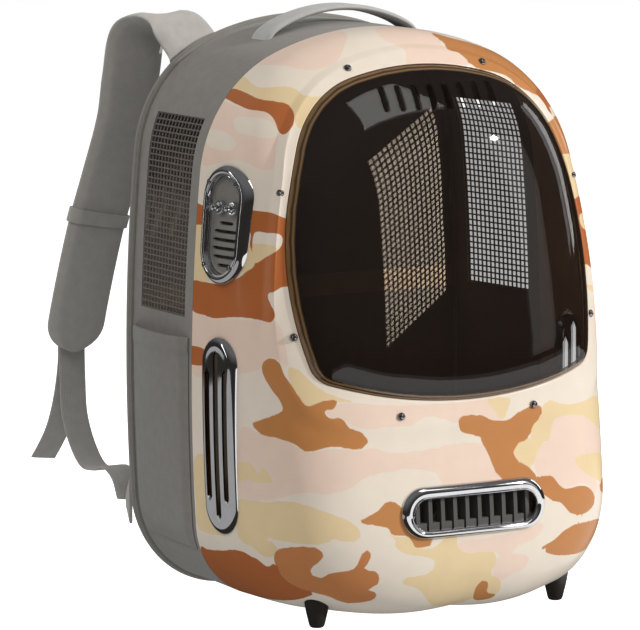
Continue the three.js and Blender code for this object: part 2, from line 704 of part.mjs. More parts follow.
function addBody() {
  const [meshY, meshZ] = [(MESH.y0 + MESH.y1) / 2, (MESH.z0 + MESH.z1) / 2];
  const meshLoop = (inset) => boxLoop(
    meshY,
    meshZ,
    MESH.y1 - MESH.y0 - 2 * inset,
    MESH.z1 - MESH.z0 - 2 * inset,
  );
  const gusset = bodyRing(0, GUSSET_WALL, GAP, GUSSET_DEPTH)
    .subtract(prismAlongX(meshLoop(0), -200, 200));
  addPiece('gusset', gusset, 'greyCloth');

  let net = bodyRing(-MESH.inset, MESH.inset + MESH.wall, 1, GUSSET_DEPTH)
    .intersect(prismAlongX(meshLoop(GAP), -200, -50));
  const pitchY = (MESH.y1 - MESH.y0 - 2 * MESH.border + MESH.bar) / MESH.columns;
  const pitchZ = (MESH.z1 - MESH.z0 - 2 * MESH.border + MESH.bar) / MESH.rows;
  for (let column = 0; column < MESH.columns; column += 1) {
    for (let row = 0; row < MESH.rows; row += 1) {
      const y = MESH.y0 + MESH.border + (column + 0.5) * pitchY - MESH.bar / 2;
      const z = MESH.z0 + MESH.border + (row + 0.5) * pitchZ - MESH.bar / 2;
      net = net.subtract(prismAlongX(boxLoop(y, z, pitchY - MESH.bar, pitchZ - MESH.bar), -200, -50));
    }
  }
  SIDES.forEach(({ word, sign }) => addPiece(`side_mesh_${word}`, onSide(net, sign), 'darkNet'));

  const rimBack = GUSSET_DEPTH + GAP + RIM_DEPTH;
  const rim = prismAlongY(archLoop(RIM_ARCH, -RIM_OUT), rimBack, GUSSET_DEPTH + GAP)
    .subtract(prismAlongY(archLoop(RIM_ARCH, RIM_IN), rimBack + 1, GUSSET_DEPTH - 1));
  addPiece('back_rim', rim, 'greyCloth');
  addPiece('back_panel', backPanel(), 'greyCloth');
}

// Padded back inside the rim, rounded off on its outer face
function backPanel() {
  const loop = archLoop(RIM_ARCH, RIM_IN + GAP + BACK_PANEL_BEVEL);
  const geometry = new THREE.ExtrudeGeometry(new THREE.Shape(loop), {
    depth: BACK_PANEL_THICK,
    bevelThickness: BACK_PANEL_BEVEL,
    bevelSize: BACK_PANEL_BEVEL,
    bevelSegments: 1,
    steps: 1,
  });
  geometry.rotateX(Math.PI / 2);
  geometry.translate(0, GUSSET_DEPTH + GAP + BACK_PANEL_THICK - BACK_PANEL_BEVEL, 0);
  return toSolid(geometry).subtract(prismAlongY(archLoop(RIM_ARCH, -10), GUSSET_DEPTH + GAP, 0));
}

// Half the bag's width at a depth and height
function halfWidthAt(y, z) {
  const loop = bodyLoop(y, 0);
  const after = loop.findIndex((point, i) => i > 0 && point.y <= z);
  const [above, below] = [loop[after - 1], loop[after]];
  return THREE.MathUtils.mapLinear(z, above.y, below.y, above.x, below.x);
}

// Pocket wall: it lies close to the body at its bottom and side seams, and stands off at its hemmed mouth
function pocket() {
  const face = (outer) => Array.from({ length: POCKET_ROWS + 1 }, (_, row) => {
    const up = row / POCKET_ROWS;
    const z = THREE.MathUtils.lerp(POCKET.z0, POCKET.z1, up);
    const thick = POCKET.wall + (z > POCKET.z1 - POCKET.hem ? POCKET.hemExtra : 0);
    return Array.from({ length: POCKET_COLUMNS + 1 }, (__, column) => {
      const share = column / POCKET_COLUMNS;
      const y = THREE.MathUtils.lerp(POCKET.y0, POCKET.y1, share);
      const stand = POCKET.stand + POCKET.bulge * up ** 1.5 * Math.sin(Math.PI * share);
      return new THREE.Vector3(-(halfWidthAt(y, z) + stand + (outer ? thick : 0)), y, z);
    });
  });
  return toSolid(wallBetween(face(true), face(false)));
}

function addPocketsAndFeet() {
  const pouch = pocket();
  const upright = new THREE.Vector3(0, 0, 1);
  SIDES.forEach(({ word, sign }) => {
    addPiece(`side_pocket_${word}`, onSide(pouch, sign), 'greyCloth');
    const foot = turned(FOOT_PROFILE, FOOT_SIDES, new THREE.Vector3(sign * FOOT.x, FOOT.y, 0), upright)
      .subtract(domeSolid(GAP, 20, OUTER_RISES));
    addPiece(`front_foot_${word}`, foot, 'darkPlastic');
  });
}

function addHandle() {
  const route = HANDLE_ROUTE.map(({ x, z }) => new THREE.Vector3(x, HANDLE_Y, z));
  const handle = band(route, new THREE.Vector3(0, 1, 0), barSection(HANDLE.width, HANDLE.thick), HANDLE.steps)
    .subtract(bodyBlock(-GAP, HANDLE_Y - HANDLE.width, HANDLE_Y + HANDLE.width));
  addPiece('top_handle', handle, 'lightCloth');
}

const acrossBag = new THREE.Vector3(1, 0, 0);
const asPoints = (route) => route.map(({ x, y, z }) => new THREE.Vector3(x, y, z));

// Route of a strap's pad, drawn on the left side, with its loop raised by that strap's share
function padRoute(word) {
  return STRAP_ROUTE.map(({ x, y, z }) => {
    const height = z > LOOP_FROM_Z ? THREE.MathUtils.lerp(LOOP_FROM_Z, z, LOOP_SHARE[word]) : z;
    return new THREE.Vector3(x, y, height);
  });
}

function strapPad(word, grow) {
  const roundEnd = (share, length) => {
    const left = (1 - share) * length;
    return left > STRAP.endLength ? 1 : Math.sqrt(Math.max(0.09, 1 - (1 - left / STRAP.endLength) ** 2));
  };
  const section = barSection(STRAP.width + 2 * grow, STRAP.thick + 2 * grow);
  const backFace = GUSSET_DEPTH + GAP + BACK_PANEL_THICK + GAP;
  const behindBack = prismAlongY(archLoop(RIM_ARCH, -60), 400, backFace);
  return band(padRoute(word), acrossBag, section, STRAP.steps, roundEnd).intersect(behindBack);
}

// Stretch of the strap's sleeve round the keeper's place
function keeperBand(word) {
  const curve = new THREE.CatmullRomCurve3(padRoute(word), false, 'centripetal');
  const half = KEEPER.length / 2 / curve.getLength();
  const route = [-1, 0, 1].map((end) => curve.getPointAt(KEEPER.at + end * half));
  const grow = 2 * (GAP + KEEPER.wall);
  const sleeve = band(route, acrossBag, barSection(STRAP.width + grow, STRAP.thick + grow), 4);
  return sleeve.subtract(strapPad(word, GAP));
}

function addStraps() {
  const buckleBack = STRAP_ROUTE[STRAP_ROUTE.length - 1].y + STRAP.thick / 2 + 2 * GAP;
  const buckleLoop = plateLoop(BUCKLE.x, BUCKLE.z, BUCKLE.width, BUCKLE.height, 4, 3);
  const buckle = prismAlongY(buckleLoop, buckleBack + BUCKLE.thick, buckleBack);
  const underBuckle = prismAlongY(archLoop(RIM_ARCH, -60), 400, 0)
    .intersect(prismAlongX(boxLoop(200, -10, 400, 2 * (BUCKLE.z - BUCKLE.height / 2 - GAP + 10)), -250, 0));
  const webbing = barSection(WEBBING.width, WEBBING.thick);
  const run = band(asPoints(RUN_ROUTE), acrossBag, webbing, WEBBING.steps).intersect(underBuckle);
  const tail = band(asPoints(TAIL_ROUTE), acrossBag, webbing, WEBBING.steps / 2).intersect(underBuckle);
  const rimBack = GUSSET_DEPTH + GAP + RIM_DEPTH + GAP;
  const tab = [
    new THREE.Vector2(rimBack, ANCHOR.bottom),
    new THREE.Vector2(ANCHOR.tipY, ANCHOR.tipZ - 4),
    new THREE.Vector2(ANCHOR.tipY, ANCHOR.tipZ + 4),
    new THREE.Vector2(rimBack, ANCHOR.top),
  ];
  const anchor = prismAlongX(tab, ANCHOR.x - ANCHOR.thick / 2, ANCHOR.x + ANCHOR.thick / 2);
  const mirrored = [
    { name: 'strap_buckle', solid: buckle },
    { name: 'strap_webbing', solid: run },
    { name: 'strap_tail', solid: tail },
    { name: 'strap_anchor', solid: anchor },
  ];
  SIDES.forEach(({ word, sign }) => {
    addPiece(`strap_pad_${word}`, onSide(strapPad(word, 0), sign), 'strapCloth');
    addPiece(`strap_keeper_${word}`, onSide(keeperBand(word), sign), 'strapCloth');
    mirrored.forEach(({ name, solid }) => addPiece(`${name}_${word}`, onSide(solid, sign), 'strapCloth'));
  });
}

addPiece('front_shell', frontShell(), 'camouflage');
addWindow();
addGrille();
addSideVents();
addControl();
addBody();
addPocketsAndFeet();
addHandle();
addStraps();
carrier.position.y = SEAM_Y;

export default carrier;
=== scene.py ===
import math

import bpy
import numpy as np
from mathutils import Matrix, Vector


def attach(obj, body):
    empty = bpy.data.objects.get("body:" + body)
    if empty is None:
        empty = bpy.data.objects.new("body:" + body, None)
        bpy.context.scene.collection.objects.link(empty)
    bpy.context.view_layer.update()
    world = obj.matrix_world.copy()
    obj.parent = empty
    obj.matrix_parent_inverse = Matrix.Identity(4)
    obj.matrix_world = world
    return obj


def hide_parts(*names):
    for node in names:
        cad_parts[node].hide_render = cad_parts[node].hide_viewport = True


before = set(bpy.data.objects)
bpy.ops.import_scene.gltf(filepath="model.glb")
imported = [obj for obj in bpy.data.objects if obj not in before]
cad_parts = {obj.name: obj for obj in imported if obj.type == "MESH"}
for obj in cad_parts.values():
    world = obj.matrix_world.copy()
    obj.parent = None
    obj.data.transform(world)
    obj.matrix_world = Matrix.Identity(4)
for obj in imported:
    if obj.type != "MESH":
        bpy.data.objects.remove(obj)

bl_info = {
    "name": "Pet carrier backpack",
    "version": (1, 0, 0),
    "blender": (4, 5, 0),
    "location": "3D View > Sidebar > Carrier",
    "description": "Makes the shell, window, trims, cloth body and straps of a pet carrier backpack",
    "category": "Object",
}

# Sizes are in millimetres with y = 0 at the seam between shell and cloth, until a mesh is made.
MM = 0.001
SEAM_Y = -54.85
GAP = 0.3
TINY = 1e-9
SIDES = (("left", -1), ("right", 1))

# Outlines from the front: top height, (radius, turn) arcs from the top centre, lower corner, bottom height.
SEAM_ARCH = {"top": 453.5, "arcs": ((235, 22.5), (109, 62), (1740, 9.1)), "bottom": 9}
RIM_ARCH = {"top": 455, "arcs": ((226, 22.5), (100, 62), (1730, 9.1)), "bottom": 3}
FRONT_ARCH = {"top": 453.5, "arcs": SEAM_ARCH["arcs"], "bottom": -58}
RING_ARCH = {"top": 441, "arcs": ((200, 21.5), (97, 54), (600, 15)), "corner": 50, "bottom": 150}
WINDOW_ARCH = {"top": 428, "arcs": ((240, 15.4), (82, 53.4), (271, 35.6)), "corner": 19, "bottom": 174}

# Shell: centre of its front, depth at floor level, lean for each millimetre up, and roundness; then the
# ring's fillet, and where under the window, by the cosine, its rise gets less and its slope longer.
DOME_CENTRE_Z = 287
FRONT_DEPTH = 176
FRONT_LEAN = 0.22
EDGE_POWER = 3.8
FACE_POWER = 3.55
RING_FILLET = 1.2
LOW_RING = {"from": 0.2, "over": 0.6, "rise_lost": 0.35, "step_gained": 3}

# Window blister: (inset from the outline, rise from the shell's face) of its edge, the bulge of its face,
# and the insets over which its khaki band ends and the dark line in the band starts and ends.
BUBBLE_EDGE = ((0, -3), (0, 1.2), (1.2, 3.2), (4, 5.1), (8, 6.3), (11, 7))
BUBBLE_BULGE = {"rise": 3.0, "over": 30}
BUBBLE_MIDDLE_Z = 300
BUBBLE_ROWS = {"count": 34, "reach": 0.97, "power": 1.5}
WINDOW_BAND = {"ends": (3.6, 4.6), "line_starts": (1.5, 2.1), "line_ends": (2.5, 3.1)}
WINDOW_SLOTS = {"count": 8, "pitch": 14.2, "middle_x": 6, "z": 404, "width": 6, "length": 20}
SCREW_SPOTS = ((62, 427), (135, 336), (137, 228), (61, 165.5))

# Turned pieces: (radius, height) points of their profiles.
RING_SCREW = ((0.1, -1.0), (3.1, -1.0), (3.1, 0.6), (2.9, 1.1), (2.3, 1.8), (1.7, 2.2), (1.2, 2.3),
              (0.9, 1.8), (0.1, 1.7))
BEZEL_SCREW = ((0.1, -1), (2.4, -1), (2.4, 0.9), (2.0, 1.4), (1.2, 1.6), (0.9, 0.9), (0.1, 0.8))
COLLAR = ((3.2, 0.0), (5.2, 0.0), (5.35, 0.5), (5.35, 3.4), (5.0, 4.0), (4.4, 4.2), (3.6, 4.2), (3.2, 3.8))
KNURL = {"depth": 0.22, "count": 24, "from_radius": 5.1}
LEVER = {"neck": ((0.1, 0.0), (1.5, 0.2), (1.5, 5.4)), "ball": 3.2, "ball_height": 8.2}
FOOT_PROFILE = ((0.2, 0), (3.6, 0), (4.8, 0.4), (5.7, 1.4), (6.3, 3.2), (7.2, 7), (8.4, 12), (9.4, 17),
                (10.4, 23), (11.2, 29), (11.6, 34), (11.6, 36), (0.2, 36))

# Chrome trims: ovals on the front with an (x, z) place or on the flanks with a (y, z) place, which lap over
# their holes; the grille's profile is (share of the way to its opening, rise from the shell's face).
TRIM_LAP = 2
GRILLE = {"at": (0, 90.7), "width": 132, "height": 40}
GRILLE_OPENING = {"at": (0, 89.2), "width": 112, "height": 24}
GRILLE_PROFILE = (
    (0, -3), (-0.012, -0.4), (-0.01, 0.5), (0.03, 1.5), (0.12, 2.7), (0.28, 3.6), (0.48, 4.0), (0.68, 3.7),
    (0.82, 3.1), (0.84, 3.6), (0.9, 4.1), (0.97, 3.7), (1, 2.8), (1, 0), (1, -3),
)
FINS = {"count": 10, "shift": 3.4, "width": 3.4, "half_height": 13, "foot_width": 9.4, "foot_height": 6.4,
        "depths": (1.2, 9)}
VENT = {"at": (-41.5, 146), "width": 44, "height": 154}
VENT_SLOTS = ((-12, 106), (0, 134), (12, 106))
VENT_SLOT = {"half_width": 3.5, "point": 5}
CONTROL = {"at": (-40, 309), "width": 54, "height": 92}
PANEL = {"at": CONTROL["at"], "width": 38, "height": 76, "depth": 1.5, "lip": 1, "thick": 2.5, "slot": 2.8,
         "shade_plate_depths": (2.6, 3.4)}
PANEL_SLOTS = ((310, 17), (303.5, 31), (297, 34), (290.5, 34), (284, 30), (277.5, 17))
SWITCH = {"z": 322, "pitch": 15, "middle_y": -42}
BEZEL_SCREWS = ((-54.5, 341), (-21.5, 341), (-54.5, 277), (-21.5, 277))

# Where cutters start and end: across a flank, and in depth or across at other openings.
FLANK_CUT = (90, 190)
CUTS = {"grille": (-120, -230), "fins": (-100, -230), "window": (-30, -230), "net": (-200, 200)}

# Cloth body, net and pocket; the rim's and the back's sections are (inset from the rim's outline, depth).
# Bands swell over a share of their half width. The pocket eases over shares of its width and height.
GUSSET_DEPTH = 107.5
MESH = {"y0": 14, "y1": 93, "z0": 232, "z1": 386}
NET = {"edge": 0.6, "front": 0.8, "back": 1.8}
POCKET = {"y0": 5, "y1": 103, "z0": 50, "z1": 217, "stand": 2, "bulge": 7, "hem": 12}
POCKET_EASE = {"sides": 0.1, "foot": 0.08, "start": 0.05, "stand": 0.15, "wall": 0.3}
POCKET_HEM = {"step": 1.2, "thick": 1.0, "thinned": 0.6, "over": 1.5}
BAND = {"swell": 0.35, "edge_power": 16, "least": 0.05}
RIM_SECTION = ((4, 0), (-1.6, 0), (-2.3, 0.5), (-2.4, 1.1), (-1.9, 1.6), (-1.9, 1.9), (-2.7, 2.3),
               (-3.0, 3.4), (-3.0, 5.4), (-2.6, 6.6), (-1.6, 7.3), (0, 7.5), (2.5, 7.3), (4, 6.6))
RIM_DEPTH = 7.5
PAD_SECTION = ((60, 1.2), (20, 1.2), (4, 1.2), (0, 1.6), (-1, 3.8), (0, 6), (4, 6.6), (20, 6.6), (60, 6.6))
PAD = {"voxel": 4.5, "pressure": 4, "swell": 2.2}
SEWN = {"x": 52, "z": 232, "depth": 2, "width": 4, "behind": 4}
BACK_THICK = 8
BACK_FACE_Y = GUSSET_DEPTH + GAP + BACK_THICK + GAP
TAPE = {"z": 238, "width": 18}

# Feet, handle and straps; the left strap is drawn and the right one mirrored.
FOOT = {"x": 111, "y": -98}
HANDLE_Y = 53
HANDLE_ROUTE = ((-72, 439), (-64, 449), (-36, 461), (0, 466), (36, 461), (64, 449), (72, 439))
STRAP_ROUTE = (
    (-86, 106, 404), (-92, 121, 433), (-104, 141, 454), (-117, 161, 446), (-122, 169, 408),
    (-124, 174, 376), (-132, 186, 327), (-140, 195, 286), (-148, 208, 224), (-152, 216, 182),
)
STRAP_END = 24
ROOT_CLEAR = 0.5
LOOP_FROM_Z = 400
LOOP_SHARE = {"left": 1, "right": 0.55}
KEEPER = {"at": 0.69, "half": 0.016, "grows": (3.8, 0.6)}
RUN_ROUTE = (
    (-148, 223, 190), (-148, 222, 157), (-150, 215, 129), (-149, 203, 105), (-148, 188, 91),
    (-147, 172, 90), (-146, 156, 94), (-146, 140, 87), (-149, 125, 72),
)
TAIL_ROUTE = (
    (-147, 226.5, 190), (-147, 227, 172), (-149, 231, 143), (-150, 242, 117), (-152, 254, 99),
    (-154, 262, 88),
)
BUCKLE = {"x": -148, "z": 200, "width": 34, "height": 22, "corner": 4, "off_pad": 4.5, "slot_length": 25,
          "slot_width": 3, "slot_lift": 5, "cut": (-5, 20)}
BUCKLE_PROFILE = ((9, 0), (1, 0), (0.3, 0.3), (0, 1), (0, 5), (0.3, 5.7), (1, 6), (9, 6))
ANCHOR = {"x": -154, "thick": 3, "top": 92, "bottom": 54, "tip_z": 72, "tip_y": 122, "tip_half": 4}

# Camera of the photograph: its place in millimetres from the seam, its turn, lens, picture size and reach
# in metres; then where sight lines are tried from it, and the half width of a printed patch's soft edge.
EYE = np.array((-2090.7, -3308.0, 725.6))
YAW, PITCH = math.radians(31.7), math.radians(7.3)
LENS, SENSOR = 280.0, 36.0
PICTURE = (640, 630)
CAMERA_SEES = 50
SIGHT_STEPS = (3500.0, 4400.0, 1.5)
PRINT_EDGE = 0.35

# Studio: the point that the lights face; each light's azimuth from the front, elevation, distance, width,
# height, power, colour, and whether glossy faces mirror it; and a snoot beside the lamp for the right net.
WHITE, BLACK = (1, 1, 1, 1), (0, 0, 0, 1)
MIDDLE = (0.0, -0.06, 0.28)
LIGHTS = {
    "lamp": (41.8, 23.2, 6.2, 0.07, 0.07, 245, (1, 0.97, 0.94), True),
    "key": (32, 48, 2.6, 0.75, 1.1, 7, (1, 0.98, 0.95), True),
    "strip": (44, 12, 3.4, 0.5, 1.4, 1.6, (1, 0.97, 0.94), True),
    "bounce": (33, -5, 1.6, 2.0, 0.24, 2.6, (1, 0.98, 0.96), False),
    "fill": (-42, 36, 2.6, 1.2, 1.0, 8, (1, 0.97, 0.94), False),
    "flank": (-82, 40, 2.4, 1.2, 0.9, 9, (1, 0.94, 0.88), False),
    "rear": (-150, 40, 2.6, 1.2, 1.0, 12, (1, 1, 1), False),
    "right": (84, 18, 2.6, 0.3, 1.2, 6, (1, 1, 1), True),
    "left": (-118, 12, 2.6, 0.25, 1.3, 3, (1, 1, 1), True),
}
SNOOT = {"at": (0.158, 0.0, 0.309), "power": 12000, "cone": 1.7, "blend": 0.1}

# The walls' glow at eye level and overhead, and whether it is for dull faces or for mirrors; the heights in
# metres between which it changes; the floor; and round parts of the floor that glow: x, y, z, radius, glow,
# for dull faces.
ROOM_RADIUS = 7000.0
ROOM_FADE = (0.8, 4.5)
ROOMS = {
    "room": ((0.06, 0.058, 0.055, 1), (0.34, 0.34, 0.34, 1), True),
    "mirrored_room": ((0.03, 0.028, 0.026, 1), (0.16, 0.16, 0.16, 1), False),
}
FLOOR = {"half": 4500.0, "below": 0.5, "tint": (0.8, 0.8, 0.8, 1), "glow": 0.88}
FLOOR_GLOWS = {
    "floor_shine": (900, -1300, -0.4, 1400, 1.2, False),
    "side_shine": (-1100, 200, -0.45, 850, 0.42, False),
    "floor_bounce": (0, -100, -0.4, 1300, 0.54, True),
}

# Camouflage: closed outlines of its patches, charted in picture coordinates on the shell.
PINK_FRONT = (
    ((258, 64), (285, 66), (303, 70), (320, 69), (336, 62), (343, 50), (346, 34), (320, 30), (285, 40),
     (262, 55)),
    ((378, 28), (384, 40), (398, 47), (405, 56), (408, 70), (440, 70), (468, 66), (455, 56), (445, 50),
     (436, 36), (428, 28)),
    ((240, 430), (262, 434), (285, 440), (300, 448), (310, 452), (335, 448), (362, 450), (372, 446),
     (385, 452), (402, 453), (425, 448), (450, 443), (475, 441), (487, 445), (488, 462), (498, 474),
     (505, 483), (480, 486), (452, 490), (442, 484), (436, 474), (420, 470), (400, 470), (382, 472),
     (365, 477), (350, 488), (330, 493), (305, 492), (285, 496), (262, 500), (240, 498)),
    ((326, 405), (350, 401), (400, 403), (450, 401), (485, 397), (495, 404), (500, 412), (497, 418),
     (486, 416), (478, 412), (465, 413), (455, 420), (440, 416), (425, 414), (405, 424), (385, 424),
     (372, 427), (358, 425), (347, 420), (343, 416), (336, 416), (328, 413)),
    ((550, 420), (570, 413), (588, 417), (600, 432), (601, 452), (583, 454), (573, 459), (577, 466),
     (592, 476), (598, 486), (592, 494), (588, 484), (575, 484), (562, 488), (554, 478), (545, 475),
     (537, 474), (533, 463), (534, 452), (540, 444), (550, 436)),
    ((455, 540), (480, 538), (520, 530), (536, 522), (545, 528), (530, 540), (505, 548), (490, 552),
     (470, 552), (458, 548)),
    ((497, 556), (515, 553), (528, 556), (525, 566), (512, 574), (497, 580), (492, 570)),
)
PINK_FLANK = (
    ((214, 104), (228, 103), (245, 110), (262, 112), (272, 118), (278, 132), (276, 150), (274, 168),
     (262, 170), (246, 163), (232, 160), (215, 164), (203, 165), (200, 150), (207, 125)),
    ((193, 312), (210, 318), (235, 319), (262, 320), (275, 318), (283, 330), (287, 350), (288, 365),
     (276, 356), (266, 358), (262, 368), (248, 372), (230, 374), (215, 372), (193, 373)),
)
CREAM_FLANK = (
    ((236, 118), (250, 117), (268, 120), (276, 128), (276, 137), (262, 138), (240, 133), (234, 126)),
    ((208, 130), (222, 131), (233, 138), (236, 147), (228, 151), (212, 148), (205, 140)),
)
SAND_FRONT = (
    ((243, 77), (252, 84), (262, 88), (280, 87), (292, 88), (299, 92), (304, 97), (318, 99), (330, 96),
     (320, 106), (308, 120), (302, 130), (296, 125), (293, 112), (286, 104), (270, 101), (258, 99),
     (246, 93), (233, 89)),
    ((250, 245), (272, 245), (280, 250), (270, 256), (258, 264), (246, 276), (240, 262)),
    ((289, 366), (297, 367), (303, 372), (318, 386), (335, 394), (352, 399), (340, 400), (334, 398),
     (325, 399), (312, 403), (304, 402), (297, 391), (290, 379)),
    ((238, 500), (260, 501), (285, 501), (300, 503), (318, 508), (335, 515), (350, 521), (360, 530),
     (358, 540), (345, 541), (332, 538), (326, 543), (300, 543), (282, 540), (265, 537), (275, 545),
     (282, 548), (272, 556), (262, 555), (252, 546), (240, 540), (236, 520)),
    ((238, 462), (252, 464), (258, 474), (262, 467), (268, 472), (272, 482), (258, 482), (246, 478),
     (238, 480)),
    ((386, 528), (395, 536), (412, 536), (418, 546), (434, 546), (446, 536), (456, 535), (458, 548),
     (472, 552), (492, 551), (496, 560), (490, 572), (500, 580), (498, 592), (490, 596), (486, 588),
     (488, 582), (482, 580), (476, 585), (472, 598), (440, 606), (430, 603), (420, 590), (410, 586),
     (402, 582), (405, 577), (425, 574), (434, 568), (434, 560), (425, 556), (405, 553), (395, 545)),
    ((486, 397), (507, 396), (505, 408), (500, 417), (494, 410)),
    ((548, 398), (560, 402), (580, 400), (592, 395), (600, 402), (601, 428), (594, 424), (585, 416),
     (570, 414), (556, 416), (551, 424), (549, 438), (541, 444), (535, 455), (533, 464), (530, 468),
     (524, 464), (516, 463), (512, 456), (514, 446), (520, 441), (530, 436), (532, 424), (538, 412),
     (540, 404)),
    ((573, 458), (583, 454), (601, 454), (603, 480), (592, 477), (577, 466)),
    ((557, 154), (571, 153), (577, 172), (584, 205), (590, 237), (588, 243), (578, 240), (572, 205),
     (563, 175)),
    ((583, 264), (592, 262), (595, 286), (584, 288)),
)
SAND_FLANK = (
    ((194, 222), (204, 226), (202, 250), (204, 268), (210, 280), (192, 281), (193, 250)),
    ((194, 460), (206, 456), (206, 500), (212, 520), (222, 532), (236, 534), (200, 530), (196, 500)),
)
BROWN_FRONT = (
    ((262, 368), (264, 361), (270, 357), (277, 358), (281, 363), (284, 371), (288, 378), (294, 386),
     (300, 396), (304, 402), (309, 404), (318, 401), (328, 398), (335, 398), (337, 401), (333, 407),
     (326, 408), (325, 412), (329, 416), (336, 416), (342, 416), (345, 420), (349, 426), (358, 429),
     (364, 434), (368, 442), (363, 448), (355, 449), (345, 447), (335, 446), (322, 448), (312, 451),
     (304, 450), (298, 446), (290, 441), (275, 437), (262, 434), (256, 429), (252, 424), (256, 421),
     (268, 417), (280, 412), (283, 408), (280, 400), (272, 389), (265, 378)),
    ((358, 521), (363, 517), (375, 512), (385, 502), (391, 500), (398, 504), (404, 511), (408, 520),
     (414, 530), (425, 535), (435, 537), (434, 543), (428, 546), (416, 547), (413, 543), (410, 537),
     (405, 535), (397, 535), (391, 534), (388, 527), (380, 526), (368, 524)),
    ((432, 33), (437, 38), (444, 44), (447, 52), (455, 55), (462, 60), (468, 66), (476, 71), (490, 74),
     (505, 79), (515, 88), (525, 93), (535, 99), (543, 105), (553, 107), (549, 98), (543, 89), (533, 76),
     (520, 65), (505, 57), (490, 50), (470, 43), (450, 38)),
    ((545, 127), (550, 120), (556, 116), (560, 122), (566, 135), (571, 153), (556, 154), (551, 142)),
    ((457, 418), (460, 414), (468, 413), (480, 413), (488, 417), (497, 418), (505, 417), (513, 412),
     (522, 406), (530, 403), (538, 404), (539, 412), (536, 418), (532, 424), (530, 432), (526, 438),
     (518, 442), (513, 449), (513, 457), (516, 463), (524, 464), (531, 468), (536, 475), (545, 475),
     (552, 476), (557, 482), (561, 487), (568, 488), (578, 485), (588, 487), (594, 495), (594, 503),
     (590, 509), (584, 513), (576, 514), (569, 512), (565, 507), (560, 502), (552, 500), (545, 495),
     (535, 488), (520, 484), (506, 482), (498, 474), (489, 467), (487, 462), (490, 453), (491, 448),
     (488, 444), (481, 441), (480, 436), (470, 433), (461, 430), (458, 425)),
    ((541, 547), (547, 543), (554, 539), (560, 533), (567, 528), (576, 524), (588, 521), (600, 519),
     (597, 530), (590, 541), (584, 550), (572, 554), (560, 555), (548, 553)),
    ((473, 598), (476, 586), (481, 580), (486, 580), (488, 584), (487, 592), (496, 594), (490, 598),
     (480, 600)),
    ((600, 482), (604, 476), (606, 482), (604, 492), (600, 490)),
)
CLAY_FRONT = (
    ((275, 563), (274, 556), (277, 550), (285, 547), (300, 546), (314, 547), (322, 551), (323, 556),
     (318, 562), (311, 568), (311, 573), (316, 576), (322, 577), (330, 573), (338, 571), (350, 570),
     (356, 566), (360, 557), (364, 551), (369, 550), (372, 554), (369, 560), (364, 568), (368, 570),
     (376, 571), (379, 577), (377, 584), (370, 588), (366, 590), (374, 591), (376, 595), (372, 600),
     (360, 602), (348, 603), (338, 600), (328, 596), (314, 592), (300, 588), (288, 581), (280, 572)),
)
# The flanks' brown patches: real printed patches, drawn in a darker, deeper brown that is painted shade of
# the flanks.
SHADED_BROWN_FLANK = (
    ((232, 89), (246, 93), (258, 99), (270, 101), (286, 104), (292, 110), (295, 118), (294, 127),
     (289, 134), (284, 136), (279, 132), (276, 124), (272, 117), (264, 112), (250, 110), (240, 106),
     (230, 101), (225, 97)),
    ((194, 203), (206, 206), (240, 209), (258, 211), (272, 213), (285, 218), (292, 220), (294, 240),
     (294, 265), (293, 284), (283, 286), (276, 290), (270, 292), (269, 297), (272, 303), (276, 311),
     (275, 317), (270, 321), (262, 320), (250, 318), (235, 317), (215, 318), (205, 315), (192, 309),
     (192, 282), (205, 282), (222, 284), (238, 278), (246, 272), (255, 264), (250, 245), (250, 232),
     (230, 228), (204, 225), (193, 222)),
    ((190, 346), (206, 350), (207, 364), (190, 363)),
    ((200, 545), (208, 549), (222, 550), (234, 549), (243, 551), (253, 557), (261, 560), (264, 566),
     (269, 566), (276, 562), (280, 572), (288, 581), (300, 588), (314, 592), (306, 597), (290, 600),
     (270, 599), (240, 592), (222, 583), (212, 572), (204, 558)),
)
CREAM_ON_SHADED_BROWN = (
    ((254, 234), (268, 233), (280, 234), (284, 240), (280, 249), (268, 256), (254, 262)),
)


# Sizes and colours that a user may change

def length(name, description, size):
    """A length property, given in millimetres."""
    return bpy.props.FloatProperty(
        name=name, description=description, default=size * MM, min=0, unit="LENGTH", subtype="DISTANCE",
        precision=5)


def number(name, description, count):
    """A property that counts gaps."""
    return bpy.props.IntProperty(name=name, description=description, default=count, min=4)


def colour(name, description, red, green, blue):
    """A colour property, given as 0 to 255 screen values."""
    screen = np.array((red, green, blue)) / 255
    light = np.where(screen <= 0.04045, screen / 12.92, ((screen + 0.055) / 1.055) ** 2.4)
    return bpy.props.FloatVectorProperty(
        name=name, description=description, default=tuple(light.tolist()), min=0, max=1, subtype="COLOR")


class CarrierSizes(bpy.types.PropertyGroup):
    """Sizes of the carrier's pieces."""
    shell_wall: length("Shell wall", "Thickness of the moulded shell", 3)
    ring_rise: length("Ring rise", "Height of the raised ring round the window", 2.2)
    ring_step: length("Ring step", "Width of the slope at the ring's outer edge", 4)
    ring_flare: length("Ring flare", "Extra rise of the ring's outer edge at its sides", 2)
    bubble_wall: length("Window wall", "Thickness of the clear window", 2.5)
    trim_rise: length("Trim rise", "Height of the chrome trims above the shell", 5)
    cloth_wall: length("Cloth wall", "Thickness of the cloth body", 3)
    pocket_wall: length("Pocket wall", "Thickness of the side pockets", 2)
    net_wire: length("Net thread", "Width of the side nets' threads", 1.1)
    net_columns: number("Net columns", "Gaps across each net", 14)
    net_rows: number("Net rows", "Gaps up each net", 33)
    strap_width: length("Strap width", "Width of the shoulder straps", 53)
    strap_thick: length("Strap thickness", "Thickness of the padded straps", 9)
    handle_width: length("Handle width", "Width of the carry handle", 27)
    handle_thick: length("Handle thickness", "Thickness of the carry handle", 5)
    webbing_width: length("Webbing width", "Width of the straps' webbing", 24)
    webbing_thick: length("Webbing thickness", "Thickness of the straps' webbing", 1.8)


